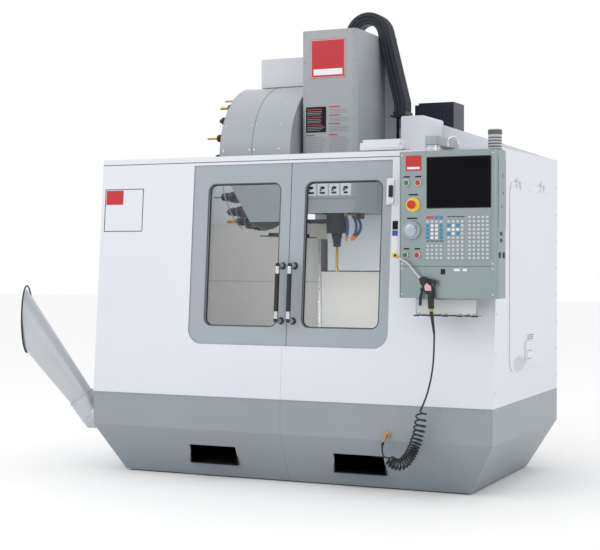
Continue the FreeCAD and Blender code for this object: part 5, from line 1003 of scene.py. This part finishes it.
# ---------------------------------------------------------------- hose fitting
turned("fitting_nut", [((603, -868, 295), TO_FRONT)],
       [(13.2, -7.6), (14.4, -6), (14.4, 2.5), (10, 4), (8, 4)], brass, "machine", 6, angle=25)
turned("barb_ferrule", [((585, -892, 246), (18, 0, 45))],
       [(5.2, -4), (7.2, -3), (7.2, 14), (6.2, 16), (5.6, 18)], black_metal, "machine", 20)

# ---------------------------------------------------------------- back and services
louvres = []
for k in range(12):
    z = 620 + k * 26
    louvres.append((-380, -120, 899, 905, z, z + 10))
    louvres.append((180, 440, 899, 905, z, z + 10))
slabs("cabinet_louvres", louvres, column_grey, "machine", 2.0)
# flat black strips under the louvre blades: painted shade in the gaps between them
slabs("cabinet_louvre_gap_shade", [(a, b, 899.4, 900.6, c - 8, c - 1) for a, b, _, _, c, _ in louvres],
      print_and_gap_shade_black, "machine", 0)
slabs("cabinet_door_edges", [(-462, -458, 899.5, 901, 520, 1830), (540, 544, 899.5, 901, 520, 1830),
                             (-458, 540, 899.5, 901, 1826, 1830), (-458, 540, 899.5, 901, 520, 524)], seam,
                             "machine", 0.4)
turned("cabinet_latches", [((508, 899.5, z), TO_BACK) for z in (760, 1180, 1600)],
       [(17, 0), (17, 4), (14, 7), (6, 8), (0, 8)], black_metal, "machine", 24)
slabs("cabinet_latch_bars", [(505, 511, 906, 909.5, z - 14, z + 14) for z in (760, 1180, 1600)], chrome,
      "machine", 1)
turned("main_switch_plate", [((-340, 899.5, 1500), TO_BACK)],
       [(40, 0), (40, 3), (37, 5), (22, 5), (22, 14), (19, 17), (0, 17)], print_yellow, "machine", 36)
slabs("main_switch_grip", [(-348, -332, 914, 924, 1478, 1522)], stop_red, "machine", 3)
holes = []
for r in range(10):
    for c in range(9):
        holes.append(((205 + c * 27, 685, 1875 + r * 26), TO_FRONT))
turned("cage_front_holes", holes, [(9.5, 0.2), (9.5, 1.0), (7.5, 1.6), (7.5, 0.8), (0, 0.8)], cage_dark,
       "machine", 12)
slabs("tank_handles", [(-940, -820, -563, -552, 240, 252), (-940, -820, 200, 211, 240, 252)], black_metal,
      "machine", 2)
turned("tank_pump_cap", [((-700, 0, 372), UPWARD)],
       [(58.6, -110), (58.6, -90), (56, -88), (56, -20), (58.6, -18), (58.6, 6), (50, 12), (0, 13)],
       motor_black, "machine", 40)

# ---------------------------------------------------------------- stage and light
bm = bmesh.new()
bmesh.ops.create_grid(bm, x_segments=2, y_segments=2, size=30.0)
me = bpy.data.meshes.new("floor")
bm.to_mesh(me)
bm.free()
floor = bpy.data.objects.new("floor", me)
floor.location.z = -0.0005
scene.collection.objects.link(floor)
pale, nt, p = blank("floor_pale")
p.inputs["Base Color"].default_value = (0.94, 0.94, 0.94, 1)
p.inputs["Roughness"].default_value = 0.9
p.inputs["Specular IOR Level"].default_value = 0.1
me.materials.append(pale)

world = bpy.data.worlds.new("studio")
scene.world = world
world.use_nodes = True
world.node_tree.nodes["Background"].inputs["Color"].default_value = (1.0, 1.0, 1.0, 1)
world.node_tree.nodes["Background"].inputs["Strength"].default_value = 1.0


def area(name, place, target, size, power):
    light = bpy.data.lights.new(name, "AREA")
    light.shape = "RECTANGLE"
    light.size, light.size_y = size
    light.energy = power
    o = bpy.data.objects.new(name, light)
    scene.collection.objects.link(o)
    o.location = place
    o.rotation_euler = (Vector(target) - Vector(place)).to_track_quat("-Z", "Y").to_euler()


area("key", (-3.5, -6.0, 5.0), (0, -0.5, 1.0), (4.0, 3.0), 70)
area("fill", (5.5, -3.0, 3.0), (0.5, 0, 1.0), (3.0, 3.0), 16)
area("top", (0.0, 0.5, 5.5), (0, 0, 1.0), (3.5, 3.5), 25)
for side, x in (("left", -0.45), ("right", 0.45)):
    area("work_light_" + side, (x, -0.70, 0.85), (x, 0.4, 1.0), (0.55, 0.16), 3)
